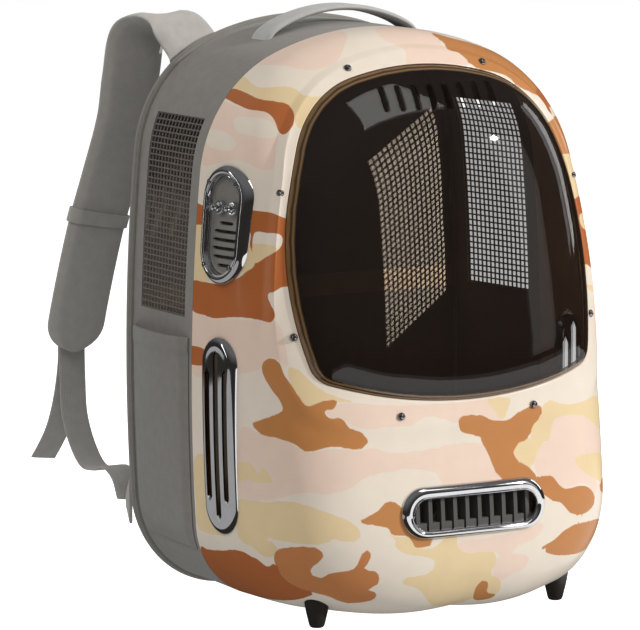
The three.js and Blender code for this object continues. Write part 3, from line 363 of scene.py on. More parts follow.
class CarrierColours(bpy.types.PropertyGroup):
    """Colours of the carrier's finishes."""
    cream: colour("Cream", "Ground of the camouflage", 233, 222, 207)
    pink: colour("Pink beige", "Palest patches of the camouflage", 235, 211, 194)
    sand: colour("Sand", "Yellow patches of the camouflage", 231, 208, 165)
    brown: colour("Brown", "Darkest patches on the front", 192, 131, 78)
    clay: colour("Clay", "Brown patch at the lower front", 195, 129, 79)
    # Shaded brown: the flanks' patch brown, darker and deeper than the front's brown as painted shade of the
    # flanks.
    shaded_brown: colour("Shaded brown", "Darkest patches on the flanks", 178, 104, 58)
    smoke: colour("Smoke", "Clear window", 34, 25, 20)
    khaki: colour("Khaki", "Edge of the window", 132, 103, 71)
    inside: colour("Shell inside", "Inner face of the shell", 158, 108, 68)
    lining: colour("Lining", "Inner face of the cloth", 121, 111, 99)
    chrome: colour("Chrome", "Plated trims", 214, 214, 216)
    plastic: colour("Grey plastic", "Panel, louvres and buckles", 136, 133, 128)
    foot: colour("Foot", "Feet", 46, 40, 36)
    cloth: colour("Grey cloth", "Cloth body and pockets", 144, 141, 136)
    strap: colour("Strap cloth", "Shoulder straps", 192, 189, 184)
    handle: colour("Handle cloth", "Carry handle", 196, 196, 194)
    webbing: colour("Webbing", "Webbing of the straps", 184, 182, 178)
    net: colour("Net", "Threads of the side nets", 108, 102, 95)
    tape: colour("Inner tape", "Tape across the inside of the back", 150, 130, 108)


# Outlines and the shell's face

def arc(x, z, heading, radius, angle):
    """Points of an arc that starts at (x, z) and turns right by an angle, a point every 2 mm or closer."""
    steps = max(3, int(abs(radius * angle) / 2))
    at = heading + np.linspace(0, angle, steps + 1)
    centre = (x - radius * math.sin(heading), z - radius * math.cos(heading))
    return np.column_stack((centre[0] + radius * np.sin(at), centre[1] + radius * np.cos(at)))


def arch_half(arch, inset=0.0):
    """Half an outline from the top centre to the bottom centre: arcs that touch, then a corner arc and the
    bottom. Without a stated corner, the corner's radius is the one that ends level with a flat bottom."""
    heading = 0.0
    line = np.array(((0.0, arch["top"] - inset),))

    def turn(line, radius, angle):
        return np.vstack((line[:-1], arc(*line[-1], heading, radius, angle)))

    for radius, degrees in arch["arcs"]:
        line = turn(line, radius - inset, math.radians(degrees))
        heading += math.radians(degrees)
    bottom = arch["bottom"] + inset
    x, z = line[-1]
    if "corner" not in arch:
        line = turn(line, (z - bottom) / (1 + math.cos(heading)), math.pi - heading)
    else:
        radius = arch["corner"] - inset
        corner_x = x - radius * math.sin(heading)
        lift = bottom - (z - radius * math.cos(heading))
        base = (radius ** 2 - corner_x ** 2 - lift ** 2) / (2 * (lift + radius))
        sweep = math.atan2(corner_x, lift + base)
        line = turn(line, radius, math.pi - sweep - heading)
        heading = math.pi - sweep
        line = turn(line, base, sweep)
    return np.vstack((line, ((0.0, bottom),)))


def running(steps):
    """Running sums of steps, from nought."""
    return np.concatenate(((0.0,), np.cumsum(steps)))


def run_length(line):
    """The length of a line of points."""
    return np.linalg.norm(np.diff(line, axis=0), axis=1).sum()


def spaced(line, count, closed=False):
    """Points at equal lengths along a line, found by its running length."""
    if closed:
        line = np.vstack((line, line[:1]))
    run = running(np.linalg.norm(np.diff(line, axis=0), axis=1))
    at = np.linspace(0, run[-1], count + 1)[:-1] if closed else np.linspace(0, run[-1], count)
    return np.column_stack([np.interp(at, run, line[:, axis]) for axis in range(line.shape[1])])


def arch_loop(arch, count, inset=0.0):
    """A whole outline as equally spaced points, from the top centre down the right side and up the left."""
    half = arch_half(arch, inset)
    other = half[-2:0:-1] * (-1, 1)
    return spaced(np.vstack((half, other)), count, closed=True)


def polar(arch):
    """Angle from straight up and distance from the dome's centre, for half an outline."""
    half = arch_half(arch)
    up = half[:, 1] - DOME_CENTRE_Z
    return np.arctan2(half[:, 0], up), np.hypot(half[:, 0], up)


SEAM_POLAR, FRONT_POLAR, RING_POLAR = polar(SEAM_ARCH), polar(FRONT_ARCH), polar(RING_ARCH)


def reach_of(line, angle):
    """Distance from the dome's centre to an outline at an angle, the same on both sides."""
    return np.interp(np.abs(angle), *line)


def dome_reach(angle, rise):
    """The dome's outline at a rise, from the seam's outline to the front's with the cube of the rise."""
    seam = reach_of(SEAM_POLAR, angle)
    return seam + (reach_of(FRONT_POLAR, angle) - seam) * rise ** 3


def front_depth(z):
    """Depth of the shell's front plane, which leans back evenly upwards."""
    return FRONT_DEPTH - FRONT_LEAN * z


def dome_rise(share):
    """Rise, 1 at the centre and 0 at the seam, for a share of the reach: a rounded-square law."""
    return np.clip(1 - share ** EDGE_POWER, 0, 1) ** (1 / FACE_POWER)


def dome_point(angle, share, offset):
    """A point of the shell's face, moved out by an offset: a share of the reach, set back by the rise."""
    rise = dome_rise(share)
    reach = share * (dome_reach(angle, rise) + offset)
    z = DOME_CENTRE_Z + reach * np.cos(angle)
    return np.stack((reach * np.sin(angle), -(front_depth(z) + offset) * rise, z), axis=-1)


def dome_share(angle, distance, offset):
    """The share at which the face, moved out by an offset, has a distance from the centre in front view."""
    rise = np.full(np.shape(distance), 0.5)
    for _ in range(40):
        share = np.clip(distance / (dome_reach(angle, rise) + offset), 0, 1)
        rise = (rise + dome_rise(share)) / 2
    return share


def dome_y(x, z, offset):
    """The face's y at an x and a height."""
    angle = np.arctan2(x, z - DOME_CENTRE_Z)
    share = dome_share(angle, np.hypot(x, z - DOME_CENTRE_Z), offset)
    return -(front_depth(z) + offset) * dome_rise(share)


def flank_x(y, z, offset):
    """The left flank's x at a y and a height, found by halving."""
    inside, outside = np.zeros(np.shape(y)), np.full(np.shape(y), -200.0)
    for _ in range(26):
        middle = (inside + outside) / 2
        within = dome_y(middle, z, offset) < y
        inside, outside = np.where(within, middle, inside), np.where(within, outside, middle)
    return inside


def half_width(y, z):
    """Half the cloth body's width at a depth and a height, evenly from the seam's outline to the rim's."""
    share = np.asarray(y) / GUSSET_DEPTH
    widths = []
    for arch in (SEAM_ARCH, RIM_ARCH):
        half = arch_half(arch)
        order = np.argsort(half[:, 1], kind="stable")
        widths.append(np.interp(z, half[order, 1], half[order, 0]))
    return widths[0] + (widths[1] - widths[0]) * share


def rounded(width, height, radius, fine, count):
    """A rectangle with round corners about the origin: a finely divided circle whose quarters are moved
    apart, as equally spaced points."""
    at = np.linspace(0, 2 * math.pi, fine + 1)[:-1]
    ray = np.column_stack((np.cos(at), np.sin(at)))
    corners = np.sign(ray) * (width / 2 - radius, height / 2 - radius)
    return spaced(corners + radius * ray, count, closed=True)


def oval(width, height, count):
    """A stadium about the origin: two half circles joined by straight sides."""
    return rounded(width, height, min(width, height) / 2, 128, count)


def trim_oval(trim, inset, count):
    """A trim's outline at its place, moved in."""
    return oval(trim["width"] - 2 * inset, trim["height"] - 2 * inset, count) + trim["at"]


def route_at(route, count):
    """A centripetal spline through a route's points, at equal lengths."""
    route = np.asarray(route, float)
    line = np.vstack((2 * route[0] - route[1], route, 2 * route[-1] - route[-2]))
    gaps = np.linalg.norm(np.diff(line, axis=0), axis=1)[:, None] ** 0.5
    p0, p1, p2, p3 = line[:-3], line[1:-2], line[2:-1], line[3:]
    d0, d1, d2 = gaps[:-2], gaps[1:-1], gaps[2:]
    leave = ((p1 - p0) / d0 - (p2 - p0) / (d0 + d1) + (p2 - p1) / d1) * d1
    enter = ((p2 - p1) / d1 - (p3 - p1) / (d1 + d2) + (p3 - p2) / d2) * d1
    t = np.linspace(0, 1, 33)[:-1, None, None]
    bend = 3 * (p2 - p1) - 2 * leave - enter
    twist = 2 * (p1 - p2) + leave + enter
    fine = p1 + leave * t + bend * t ** 2 + twist * t ** 3
    return spaced(np.vstack((fine.transpose(1, 0, 2).reshape(-1, 3), route[-1:])), count)


def smooth(x):
    """Even ease from 0 to 1."""
    x = np.clip(x, 0, 1)
    return x * x * (3 - 2 * x)


# Meshes from grids of points

def skin(name, rows, ends=None, loop=False):
    """A closed mesh from rows of points: quads between neighbours, each row closed on itself. The rows
    close on each other for a loop; otherwise each end gets a strip across it or a fan to its middle."""
    rows = np.asarray(rows, float)
    count, across = rows.shape[:2]
    points = rows.reshape(-1, 3)
    r = np.arange(count if loop else count - 1)[:, None]
    c = np.arange(across)[None, :]
    r2, c2 = (r + 1) % count, (c + 1) % across
    corners = ((r, c), (r, c2), (r2, c2), (r2, c))
    quads = np.stack([a * across + b for a, b in corners], -1).reshape(-1, 4)
    u = running(np.linalg.norm(np.roll(rows, -1, 1) - rows, axis=2).mean(0))
    v = running(np.linalg.norm(np.roll(rows, -1, 0) - rows, axis=2).mean(1))
    us = np.broadcast_to(np.stack([u[c], u[c + 1], u[c + 1], u[c]], -1), (len(r), across, 4))
    vs = np.broadcast_to(np.stack([v[r], v[r], v[r + 1], v[r + 1]], -1), (len(r), across, 4))
    faces = [(quads, np.stack((us, vs), -1).reshape(-1, 2))]
    if ends == "strip":
        i = np.arange(across // 2 - 1)
        for start in (0, (count - 1) * across):
            strip = start + np.stack((i, i + 1, across - 2 - i, across - 1 - i), -1)
            faces.append((strip if start else strip[:, ::-1], np.zeros((strip.size, 2))))
    if ends == "fan":
        for start, middle in ((0, rows[0].mean(0)), ((count - 1) * across, rows[-1].mean(0))):
            fan = np.stack((start + c[0], start + c2[0], np.full(across, len(points))), -1)
            points = np.vstack((points, middle))
            faces.append((fan if start else fan[:, ::-1], np.zeros((fan.size, 2))))
    return mesh_of(name, points, faces)


def mesh_of(name, points, faces):
    """An object from points and groups of equal faces, turned to face out by the sign of its volume."""
    volume = 0.0
    for group, _ in faces:
        first = points[group[:, 0]]
        for k in range(1, group.shape[1] - 1):
            volume += np.einsum("ij,ij->", first, np.cross(points[group[:, k]], points[group[:, k + 1]]))
    if volume < 0:
        faces = [(group[:, ::-1], uv.reshape(*group.shape, 2)[:, ::-1].reshape(-1, 2)) for group, uv in faces]
    mesh = bpy.data.meshes.new(name)
    mesh.vertices.add(len(points))
    put_points(mesh, points)
    sizes = np.concatenate([np.full(len(group), group.shape[1]) for group, _ in faces])
    corners = np.concatenate([group.ravel() for group, _ in faces])
    mesh.loops.add(len(corners))
    mesh.loops.foreach_set("vertex_index", corners.astype(np.int32))
    mesh.polygons.add(len(sizes))
    mesh.polygons.foreach_set("loop_start", running(sizes)[:-1].astype(np.int32))
    uvs = np.concatenate([uv for _, uv in faces]) * MM
    mesh.uv_layers.new(name="cloth").data.foreach_set("uv", uvs.astype(np.float32).ravel())
    mesh.update(calc_edges=True)
    mesh.validate()
    piece = bpy.data.objects.new(name, mesh)
    bpy.context.scene.collection.objects.link(piece)
    return piece


def one_face(name, rim):
    """A flat piece of a single face."""
    return mesh_of(name, rim, [(np.arange(len(rim))[None, :], np.zeros((len(rim), 2)))])


def values(items, key, width, kind=np.float32):
    """One property of a mesh's items as an array, with a row for each item."""
    flat = np.empty(len(items) * width, kind)
    items.foreach_get(key, flat)
    return flat.reshape(-1, width)


def points_of(piece):
    """A piece's points in millimetres from the seam."""
    return values(piece.data.vertices, "co", 3).astype(float) / MM - (0, SEAM_Y, 0)


def put_points(mesh, points):
    """Sets a mesh's points, given in millimetres from the seam."""
    mesh.vertices.foreach_set("co", ((points + (0, SEAM_Y, 0)) * MM).astype(np.float32).ravel())


def mark(piece, name, field):
    """Writes a value for each point, which a finish can read by its name."""
    piece.data.attributes.new(name, "FLOAT", "POINT").data.foreach_set("value", field.astype(np.float32))


def dress(piece, finishes, index=None):
    """Gives a piece its finishes, and each face the number of its own one."""
    piece.data.materials.clear()
    for finish in finishes:
        piece.data.materials.append(finish)
    if index is not None:
        piece.data.polygons.foreach_set("material_index", index.astype(np.int32))


def settle(piece):
    """Puts a piece's modifiers into its mesh."""
    depsgraph = bpy.context.evaluated_depsgraph_get()
    made = bpy.data.meshes.new_from_object(piece.evaluated_get(depsgraph))
    old = piece.data
    piece.modifiers.clear()
    piece.data = made
    bpy.data.meshes.remove(old)


def cut(piece, cutters, operation="DIFFERENCE"):
    """Takes closed prisms out of a closed piece, or keeps only what is inside a prism."""
    for cutter in cutters:
        tool = piece.modifiers.new("cut", "BOOLEAN")
        tool.object, tool.operation, tool.solver = cutter, operation, "MANIFOLD"
    settle(piece)
    for cutter in cutters:
        bpy.data.objects.remove(cutter)
    if not piece.data.polygons:
        raise RuntimeError(f"{piece.name} was cut away")


def prism(axis, loop, start, end):
    """A cutter: a loop carried along y, its points (x, z), or along x, its points (y, z)."""
    at = np.array((start, end), float)[:, None] * np.ones((1, len(loop)))
    first, second = (np.broadcast_to(loop[:, k], at.shape) for k in (0, 1))
    rows = (first, at, second) if axis == "y" else (at, first, second)
    return skin("cutter", np.stack(rows, -1), ends="strip")


def flank_prism(loop, sign):
    """A cutter through one flank."""
    return prism("x", loop, *(sign * reach for reach in FLANK_CUT))


def place(piece, slot, *nodes, body="bag", sharp=None, finishes=()):
    """Smooths a piece except at edges that turn by more than an angle, and gives it its finishes and the body
    that it rides on; it hides the CAD nodes that it stands for, and the material slot is not used."""
    if not piece.data.polygons:
        raise RuntimeError(f"{piece.name} has no faces")
    if sharp:
        piece.data.shade_smooth()
        piece.data.set_sharp_from_angle(angle=math.radians(sharp))
    if finishes:
        dress(piece, finishes)
    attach(piece, body)
    if nodes:
        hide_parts(*nodes)
    return piece


def mirrored(rows, sign):
    """Rows of points drawn on the left, kept there or mirrored to the right."""
    return rows if sign < 0 else rows * (-1, 1, 1)


def upright(loop, y):
    """A loop of (x, z) points, at one depth or each at its own."""
    return np.column_stack((loop[:, 0], np.broadcast_to(y, len(loop)), loop[:, 1]))


def on_face(loop, rise):
    """A loop of (x, z) points laid on the shell's front, at a rise from its face."""
    return upright(loop, dome_y(loop[:, 0], loop[:, 1], rise))


def on_flank(trim, profile, count=180):
    """Ovals laid on the left flank: each (inset, rise) of a profile moves the trim's outline in and out."""
    loops = np.array([trim_oval(trim, inset, count) for inset, _ in profile])
    y, z = loops[..., 0], loops[..., 1]
    rises = np.array([rise for _, rise in profile], float)[:, None] * np.ones_like(y)
    return np.stack((flank_x(y, z, rises), y, z), -1)


def turned(name, profile, seat, axis, count=40, ripple=None):
    """A turned piece: (radius, height) points carried round an axis, a ripple added to the radius."""
    profile = np.asarray(profile, float)
    axis = np.asarray(axis, float) / np.linalg.norm(axis)
    side = np.cross(axis, (0.0, 0.0, 1.0) if abs(axis[2]) < 0.9 else (1.0, 0.0, 0.0))
    side /= np.linalg.norm(side)
    other = np.cross(axis, side)
    angle = np.linspace(0, 2 * math.pi, count + 1)[:-1]
    radius = profile[:, :1] + (0 if ripple is None else ripple(angle[None, :], profile))
    rows = (np.asarray(seat, float) + profile[:, 1, None, None] * axis
            + (radius * np.cos(angle))[..., None] * side + (radius * np.sin(angle))[..., None] * other)
    return skin(name, rows, ends="fan")


def flat_section(width, thick, edge, half=14):
    """A flat band's section: its half thickness swells from the edge to the middle with a round law."""
    share = np.cos(np.linspace(math.pi, 0, half))
    swell = edge + (thick / 2 - edge) * smooth((1 - np.abs(share)) / BAND["swell"])
    swell = swell * np.clip(1 - share ** BAND["edge_power"], 0, 1) ** 0.5 + BAND["least"]
    top = np.column_stack((share * width / 2, swell))
    return np.vstack((top, top[::-1] * (1, -1)))


def band_rows(route, across, section, count, widths=None):
    """A section carried along a spline, its width kept along one direction and scaled along the way."""
    centre = route_at(route, count)
    along = np.gradient(centre, axis=0)
    along /= np.linalg.norm(along, axis=1)[:, None]
    side = np.asarray(across, float) - along * (along @ np.asarray(across, float))[:, None]
    side /= np.linalg.norm(side, axis=1)[:, None]
    out = np.cross(side, along)
    scale = np.ones(count) if widths is None else widths
    spread = section[None, :, 0, None] * scale[:, None, None]
    return centre[:, None] + side[:, None] * spread + out[:, None] * section[None, :, 1, None]


# Finishes

class Finish:
    """A material built up from nodes. Keywords name sockets; each gets a value or a link from another
    socket."""

    def __init__(self, name, **sockets):
        self.material = bpy.data.materials.get(name) or bpy.data.materials.new(name)
        self.material.use_nodes = True
        self.tree = self.material.node_tree
        self.shader = self.tree.nodes["Principled BSDF"]
        self.feed(self.shader, **sockets)

    def feed(self, node, **inputs):
        """Gives a node's sockets their values and links."""
        for key, value in inputs.items():
            wanted = key.replace("_", " ")
            socket = next(s for s in node.inputs if s.name == wanted and s.enabled)
            if isinstance(value, bpy.types.NodeSocket):
                self.tree.links.new(value, socket)
            else:
                socket.default_value = value

    def made(self, **sockets):
        """The material, once its shader has its last links."""
        self.feed(self.shader, **sockets)
        return self.material

    def put(self, kind, settings=None, **inputs):
        """A new node with its settings and inputs."""
        node = self.tree.nodes.new(kind)
        for key, value in (settings or {}).items():
            setattr(node, key, value)
        self.feed(node, **inputs)
        return node

    def between(self, value, low, high, start=0.0, end=1.0):
        """A value's range start to end, mapped to low to high."""
        ends = {"From_Min": start, "From_Max": end, "To_Min": low, "To_Max": high}
        node = self.put("ShaderNodeMapRange", Value=value, **ends)
        return node.outputs["Result"]

    def blended(self, share, first, second, mode="MIX"):
        """Two colours mixed by a share."""
        settings = {"data_type": "RGBA", "blend_type": mode}
        node = self.put("ShaderNodeMix", settings, Factor=share, A=first, B=second)
        return next(s for s in node.outputs if s.type == "RGBA")

    def product(self, first, second):
        """Two values multiplied."""
        node = self.put("ShaderNodeMath", {"operation": "MULTIPLY"})
        self.tree.links.new(first, node.inputs[0])
        self.tree.links.new(second, node.inputs[1])
        return node.outputs["Value"]

    def attribute(self, name):
        """A value that is written on the piece's points."""
        return self.put("ShaderNodeAttribute", {"attribute_name": name}).outputs["Fac"]

    def place_in_piece(self):
        """Object coordinates."""
        return self.put("ShaderNodeTexCoord").outputs["Object"]

    def grain(self, scale, detail=3.0):
        """Noise on object coordinates."""
        at = self.place_in_piece()
        return self.put("ShaderNodeTexNoise", Vector=at, Scale=scale, Detail=detail).outputs["Fac"]

    def bump(self, height, distance):
        """Relief from a height, in metres."""
        return self.put("ShaderNodeBump", Strength=1.0, Distance=distance, Height=height).outputs["Normal"]


def dimmed(tint, share):
    """A darker colour."""
    return tuple(share * value for value in tint)


def opaque(tint, share=1.0):
    """A colour property, darkened by a share, as a socket's four values."""
    return (*dimmed(tint, share), 1.0)


def camouflage_finish(colours):
    """Printed satin plastic: each patch is the inside of a charted outline, whose distance is on the
    points."""
    finish = Finish("camouflage", IOR=1.5, Specular_IOR_Level=0.18, Coat_Weight=0.08, Coat_Roughness=0.1)
    tint = opaque(colours.cream)
    # The shaded brown patches hold painted shade of the flanks in their colour.
    for patch in ("pink", "sand", "brown", "clay", "shaded_brown"):
        inside = finish.between(finish.attribute(patch), 1, 0, -PRINT_EDGE, PRINT_EDGE)
        tint = finish.blended(inside, tint, opaque(getattr(colours, patch)))
    cloud = finish.between(finish.grain(60), 0.94, 1.04)
    clouds = finish.put("ShaderNodeCombineColor", Red=cloud, Green=cloud, Blue=cloud).outputs["Color"]
    fine = finish.grain(900)
    return finish.made(Base_Color=finish.blended(1.0, tint, clouds, "MULTIPLY"),
                       Roughness=finish.between(fine, 0.26, 0.36), Normal=finish.bump(fine, 0.00002))


def moulded_finish(name, tint, low=0.35, high=0.5, **sockets):
    """Moulded plastic with a fine grain in its gloss, colour and relief."""
    finish = Finish(name, IOR=1.5, **sockets)
    fine = finish.grain(500)
    soft = finish.between(finish.grain(45), 0, 1, 0.35, 0.65)
    return finish.made(Base_Color=finish.blended(soft, opaque(tint, 0.86), opaque(tint)),
                       Roughness=finish.between(fine, low, high), Normal=finish.bump(fine, 0.00003))


def chrome_finish(name, tint):
    """Plated plastic: mirror metal, its gloss dulled a little in soft spots."""
    finish = Finish(name, Metallic=1.0)
    soft = finish.grain(70)
    dull = finish.between(soft, 0, 1, 0.3, 0.7)
    return finish.made(Base_Color=finish.blended(dull, opaque(tint), opaque(tint, 0.9)),
                       Roughness=finish.between(soft, 0.03, 0.08, 0.3, 0.7))


def window_finish(colours):
    """Smoked clear plastic: dark and half clear, khaki and closed in a band with a dark line along its
    edge."""
    finish = Finish("smoked window", IOR=1.65)
    inset = finish.attribute("inset")
    edge = finish.between(inset, 1, 0, *WINDOW_BAND["ends"])
    line = finish.product(finish.between(inset, 0, 1, *WINDOW_BAND["line_starts"]),
                          finish.between(inset, 1, 0, *WINDOW_BAND["line_ends"]))
    band = finish.blended(line, opaque(colours.khaki), opaque(colours.khaki, 0.25))
    return finish.made(Base_Color=finish.blended(edge, opaque(colours.smoke), band),
                       Alpha=finish.between(edge, 0.44, 0.85),
                       Roughness=finish.between(finish.grain(30), 0.0, 0.02))


def cloth_finish(name, tint, pitch, relief):
    """Plain weave: two crossing waves on the piece's own cloth map, with soft mottling and fibre noise. The
    pitch of the threads and their relief are in millimetres."""
    finish = Finish(name, Sheen_Weight=0.15, Sheen_Roughness=0.5, IOR=1.4)
    cloth = finish.put("ShaderNodeUVMap", {"uv_map": "cloth"}).outputs["UV"]
    threads = {"Vector": cloth, "Scale": 0.314 / (pitch * MM), "Distortion": 1.2, "Detail": 2.0}

    def wave(way):
        return finish.put("ShaderNodeTexWave", {"bands_direction": way}, **threads).outputs["Fac"]

    weave = finish.product(wave("X"), wave("Y"))
    mottle = finish.between(finish.grain(130, 4.0), 0, 1, 0.3, 0.7)
    shade = finish.blended(mottle, opaque(tint, 0.88), opaque(tint))
    return finish.made(Base_Color=finish.blended(finish.between(weave, 0.3, 0), shade, opaque(tint, 0.62)),
                       Roughness=finish.between(weave, 0.9, 0.76), Normal=finish.bump(weave, relief * MM))


# Camouflage on the shell

def sight_lines(spots):
    """Directions of the camera's sight lines through picture spots."""
    level = math.cos(PITCH)
    forward = np.array((math.sin(YAW) * level, math.cos(YAW) * level, -math.sin(PITCH)))
    right = np.array((math.cos(YAW), -math.sin(YAW), 0.0))
    up = np.cross(right, forward)
    focal = LENS / SENSOR * PICTURE[0]
    spots = np.asarray(spots, float)
    lines = (forward + right * ((spots[:, :1] - PICTURE[0] / 2) / focal)
             - up * ((spots[:, 1:] - PICTURE[1] / 2) / focal))
    return lines / np.linalg.norm(lines, axis=1)[:, None]


def on_shell(spots):
    """Where sight lines first meet the shell's face, or pass closest to it: the first sign change along
    each line of the distance from the dome's axis less the dome's reach at that depth."""
    lines = sight_lines(spots)
    along = np.arange(*SIGHT_STEPS)
    at = EYE + lines[:, None] * along[None, :, None]
    x, y, z = at[..., 0], at[..., 1], at[..., 2]
    rise = np.clip(-y / front_depth(z), 0, 1)
    share = (1 - rise ** FACE_POWER) ** (1 / EDGE_POWER)
    angle = np.arctan2(x, z - DOME_CENTRE_Z)
    gap = np.hypot(x, z - DOME_CENTRE_Z) - share * dome_reach(angle, rise)
    hit = (gap < 0) & (-y < front_depth(z))
    first = np.where(hit.any(1), hit.argmax(1), gap.argmin(1))
    return at[np.arange(len(at)), first]


def chart(points):
    """A flat map of the shell: the angle about the dome's centre is kept, and the distance from it in front
    view is lengthened by the depth behind the front plane."""
    x, y, z = points[..., 0], points[..., 1], points[..., 2]
    angle = np.arctan2(x, z - DOME_CENTRE_Z)
    far = np.hypot(x, z - DOME_CENTRE_Z) + np.maximum(front_depth(z) + y, 0)
    return np.stack((far * np.sin(angle), far * np.cos(angle)), -1)


def patch_loop(spots):
    """A patch's outline on the map: a smooth closed curve through its spots, each put on the shell."""
    spots = np.asarray(spots, float)
    before, after, later = np.roll(spots, 1, 0), np.roll(spots, -1, 0), np.roll(spots, -2, 0)
    t = np.linspace(0, 1, 7)[:-1, None, None]
    curve = 0.5 * (2 * spots + (after - before) * t + (2 * before - 5 * spots + 4 * after - later) * t ** 2
                   + (3 * spots - before - 3 * after + later) * t ** 3)
    return chart(on_shell(curve.transpose(1, 0, 2).reshape(-1, 2)))


def patch_distance(where, patches, far=6.0):
    """Distance on the map to the nearest outline of several patches, negative inside and at most far
    outside. A point is inside where a line to its right crosses the outline an odd number of times."""
    result = np.full(len(where), far)
    for spots in patches:
        loop = patch_loop(spots)
        near = np.flatnonzero(((where > loop.min(0) - far) & (where < loop.max(0) + far)).all(1))
        if not len(near):
            continue
        p, a, b = where[near][:, None], loop[None], np.roll(loop, -1, 0)[None]
        step = b - a
        size = np.maximum((step ** 2).sum(2), TINY)
        t = np.clip(((p - a) * step).sum(2) / size, 0, 1)
        away = np.linalg.norm(p - a - t[..., None] * step, axis=2).min(1)
        rising = np.where(np.abs(step[..., 1]) < TINY, TINY, step[..., 1])
        crossing = (((a[..., 1] > p[..., 1]) != (b[..., 1] > p[..., 1]))
                    & (p[..., 0] < a[..., 0] + step[..., 0] * (p[..., 1] - a[..., 1]) / rising))
        away = np.where(crossing.sum(1) % 2 == 1, -away, away)
        result[near] = np.minimum(result[near], away)
    return result


def paint_camouflage(piece):
    """Writes each patch colour's distance to the shell's points; the flank's patches repeat on the hidden
    flank."""
    where = chart(points_of(piece))
    other = where * (-1, 1)

    def both(patches):
        return np.minimum(patch_distance(where, patches), patch_distance(other, patches))

    pink = np.minimum(patch_distance(where, PINK_FRONT), both(PINK_FLANK))
    mark(piece, "pink", np.maximum(pink, -both(CREAM_FLANK)))
    mark(piece, "sand", np.minimum(patch_distance(where, SAND_FRONT), both(SAND_FLANK)))
    mark(piece, "brown", patch_distance(where, BROWN_FRONT))
    mark(piece, "clay", patch_distance(where, CLAY_FRONT))
    mark(piece, "shaded_brown", np.maximum(both(SHADED_BROWN_FLANK), -both(CREAM_ON_SHADED_BROWN)))


# Operators

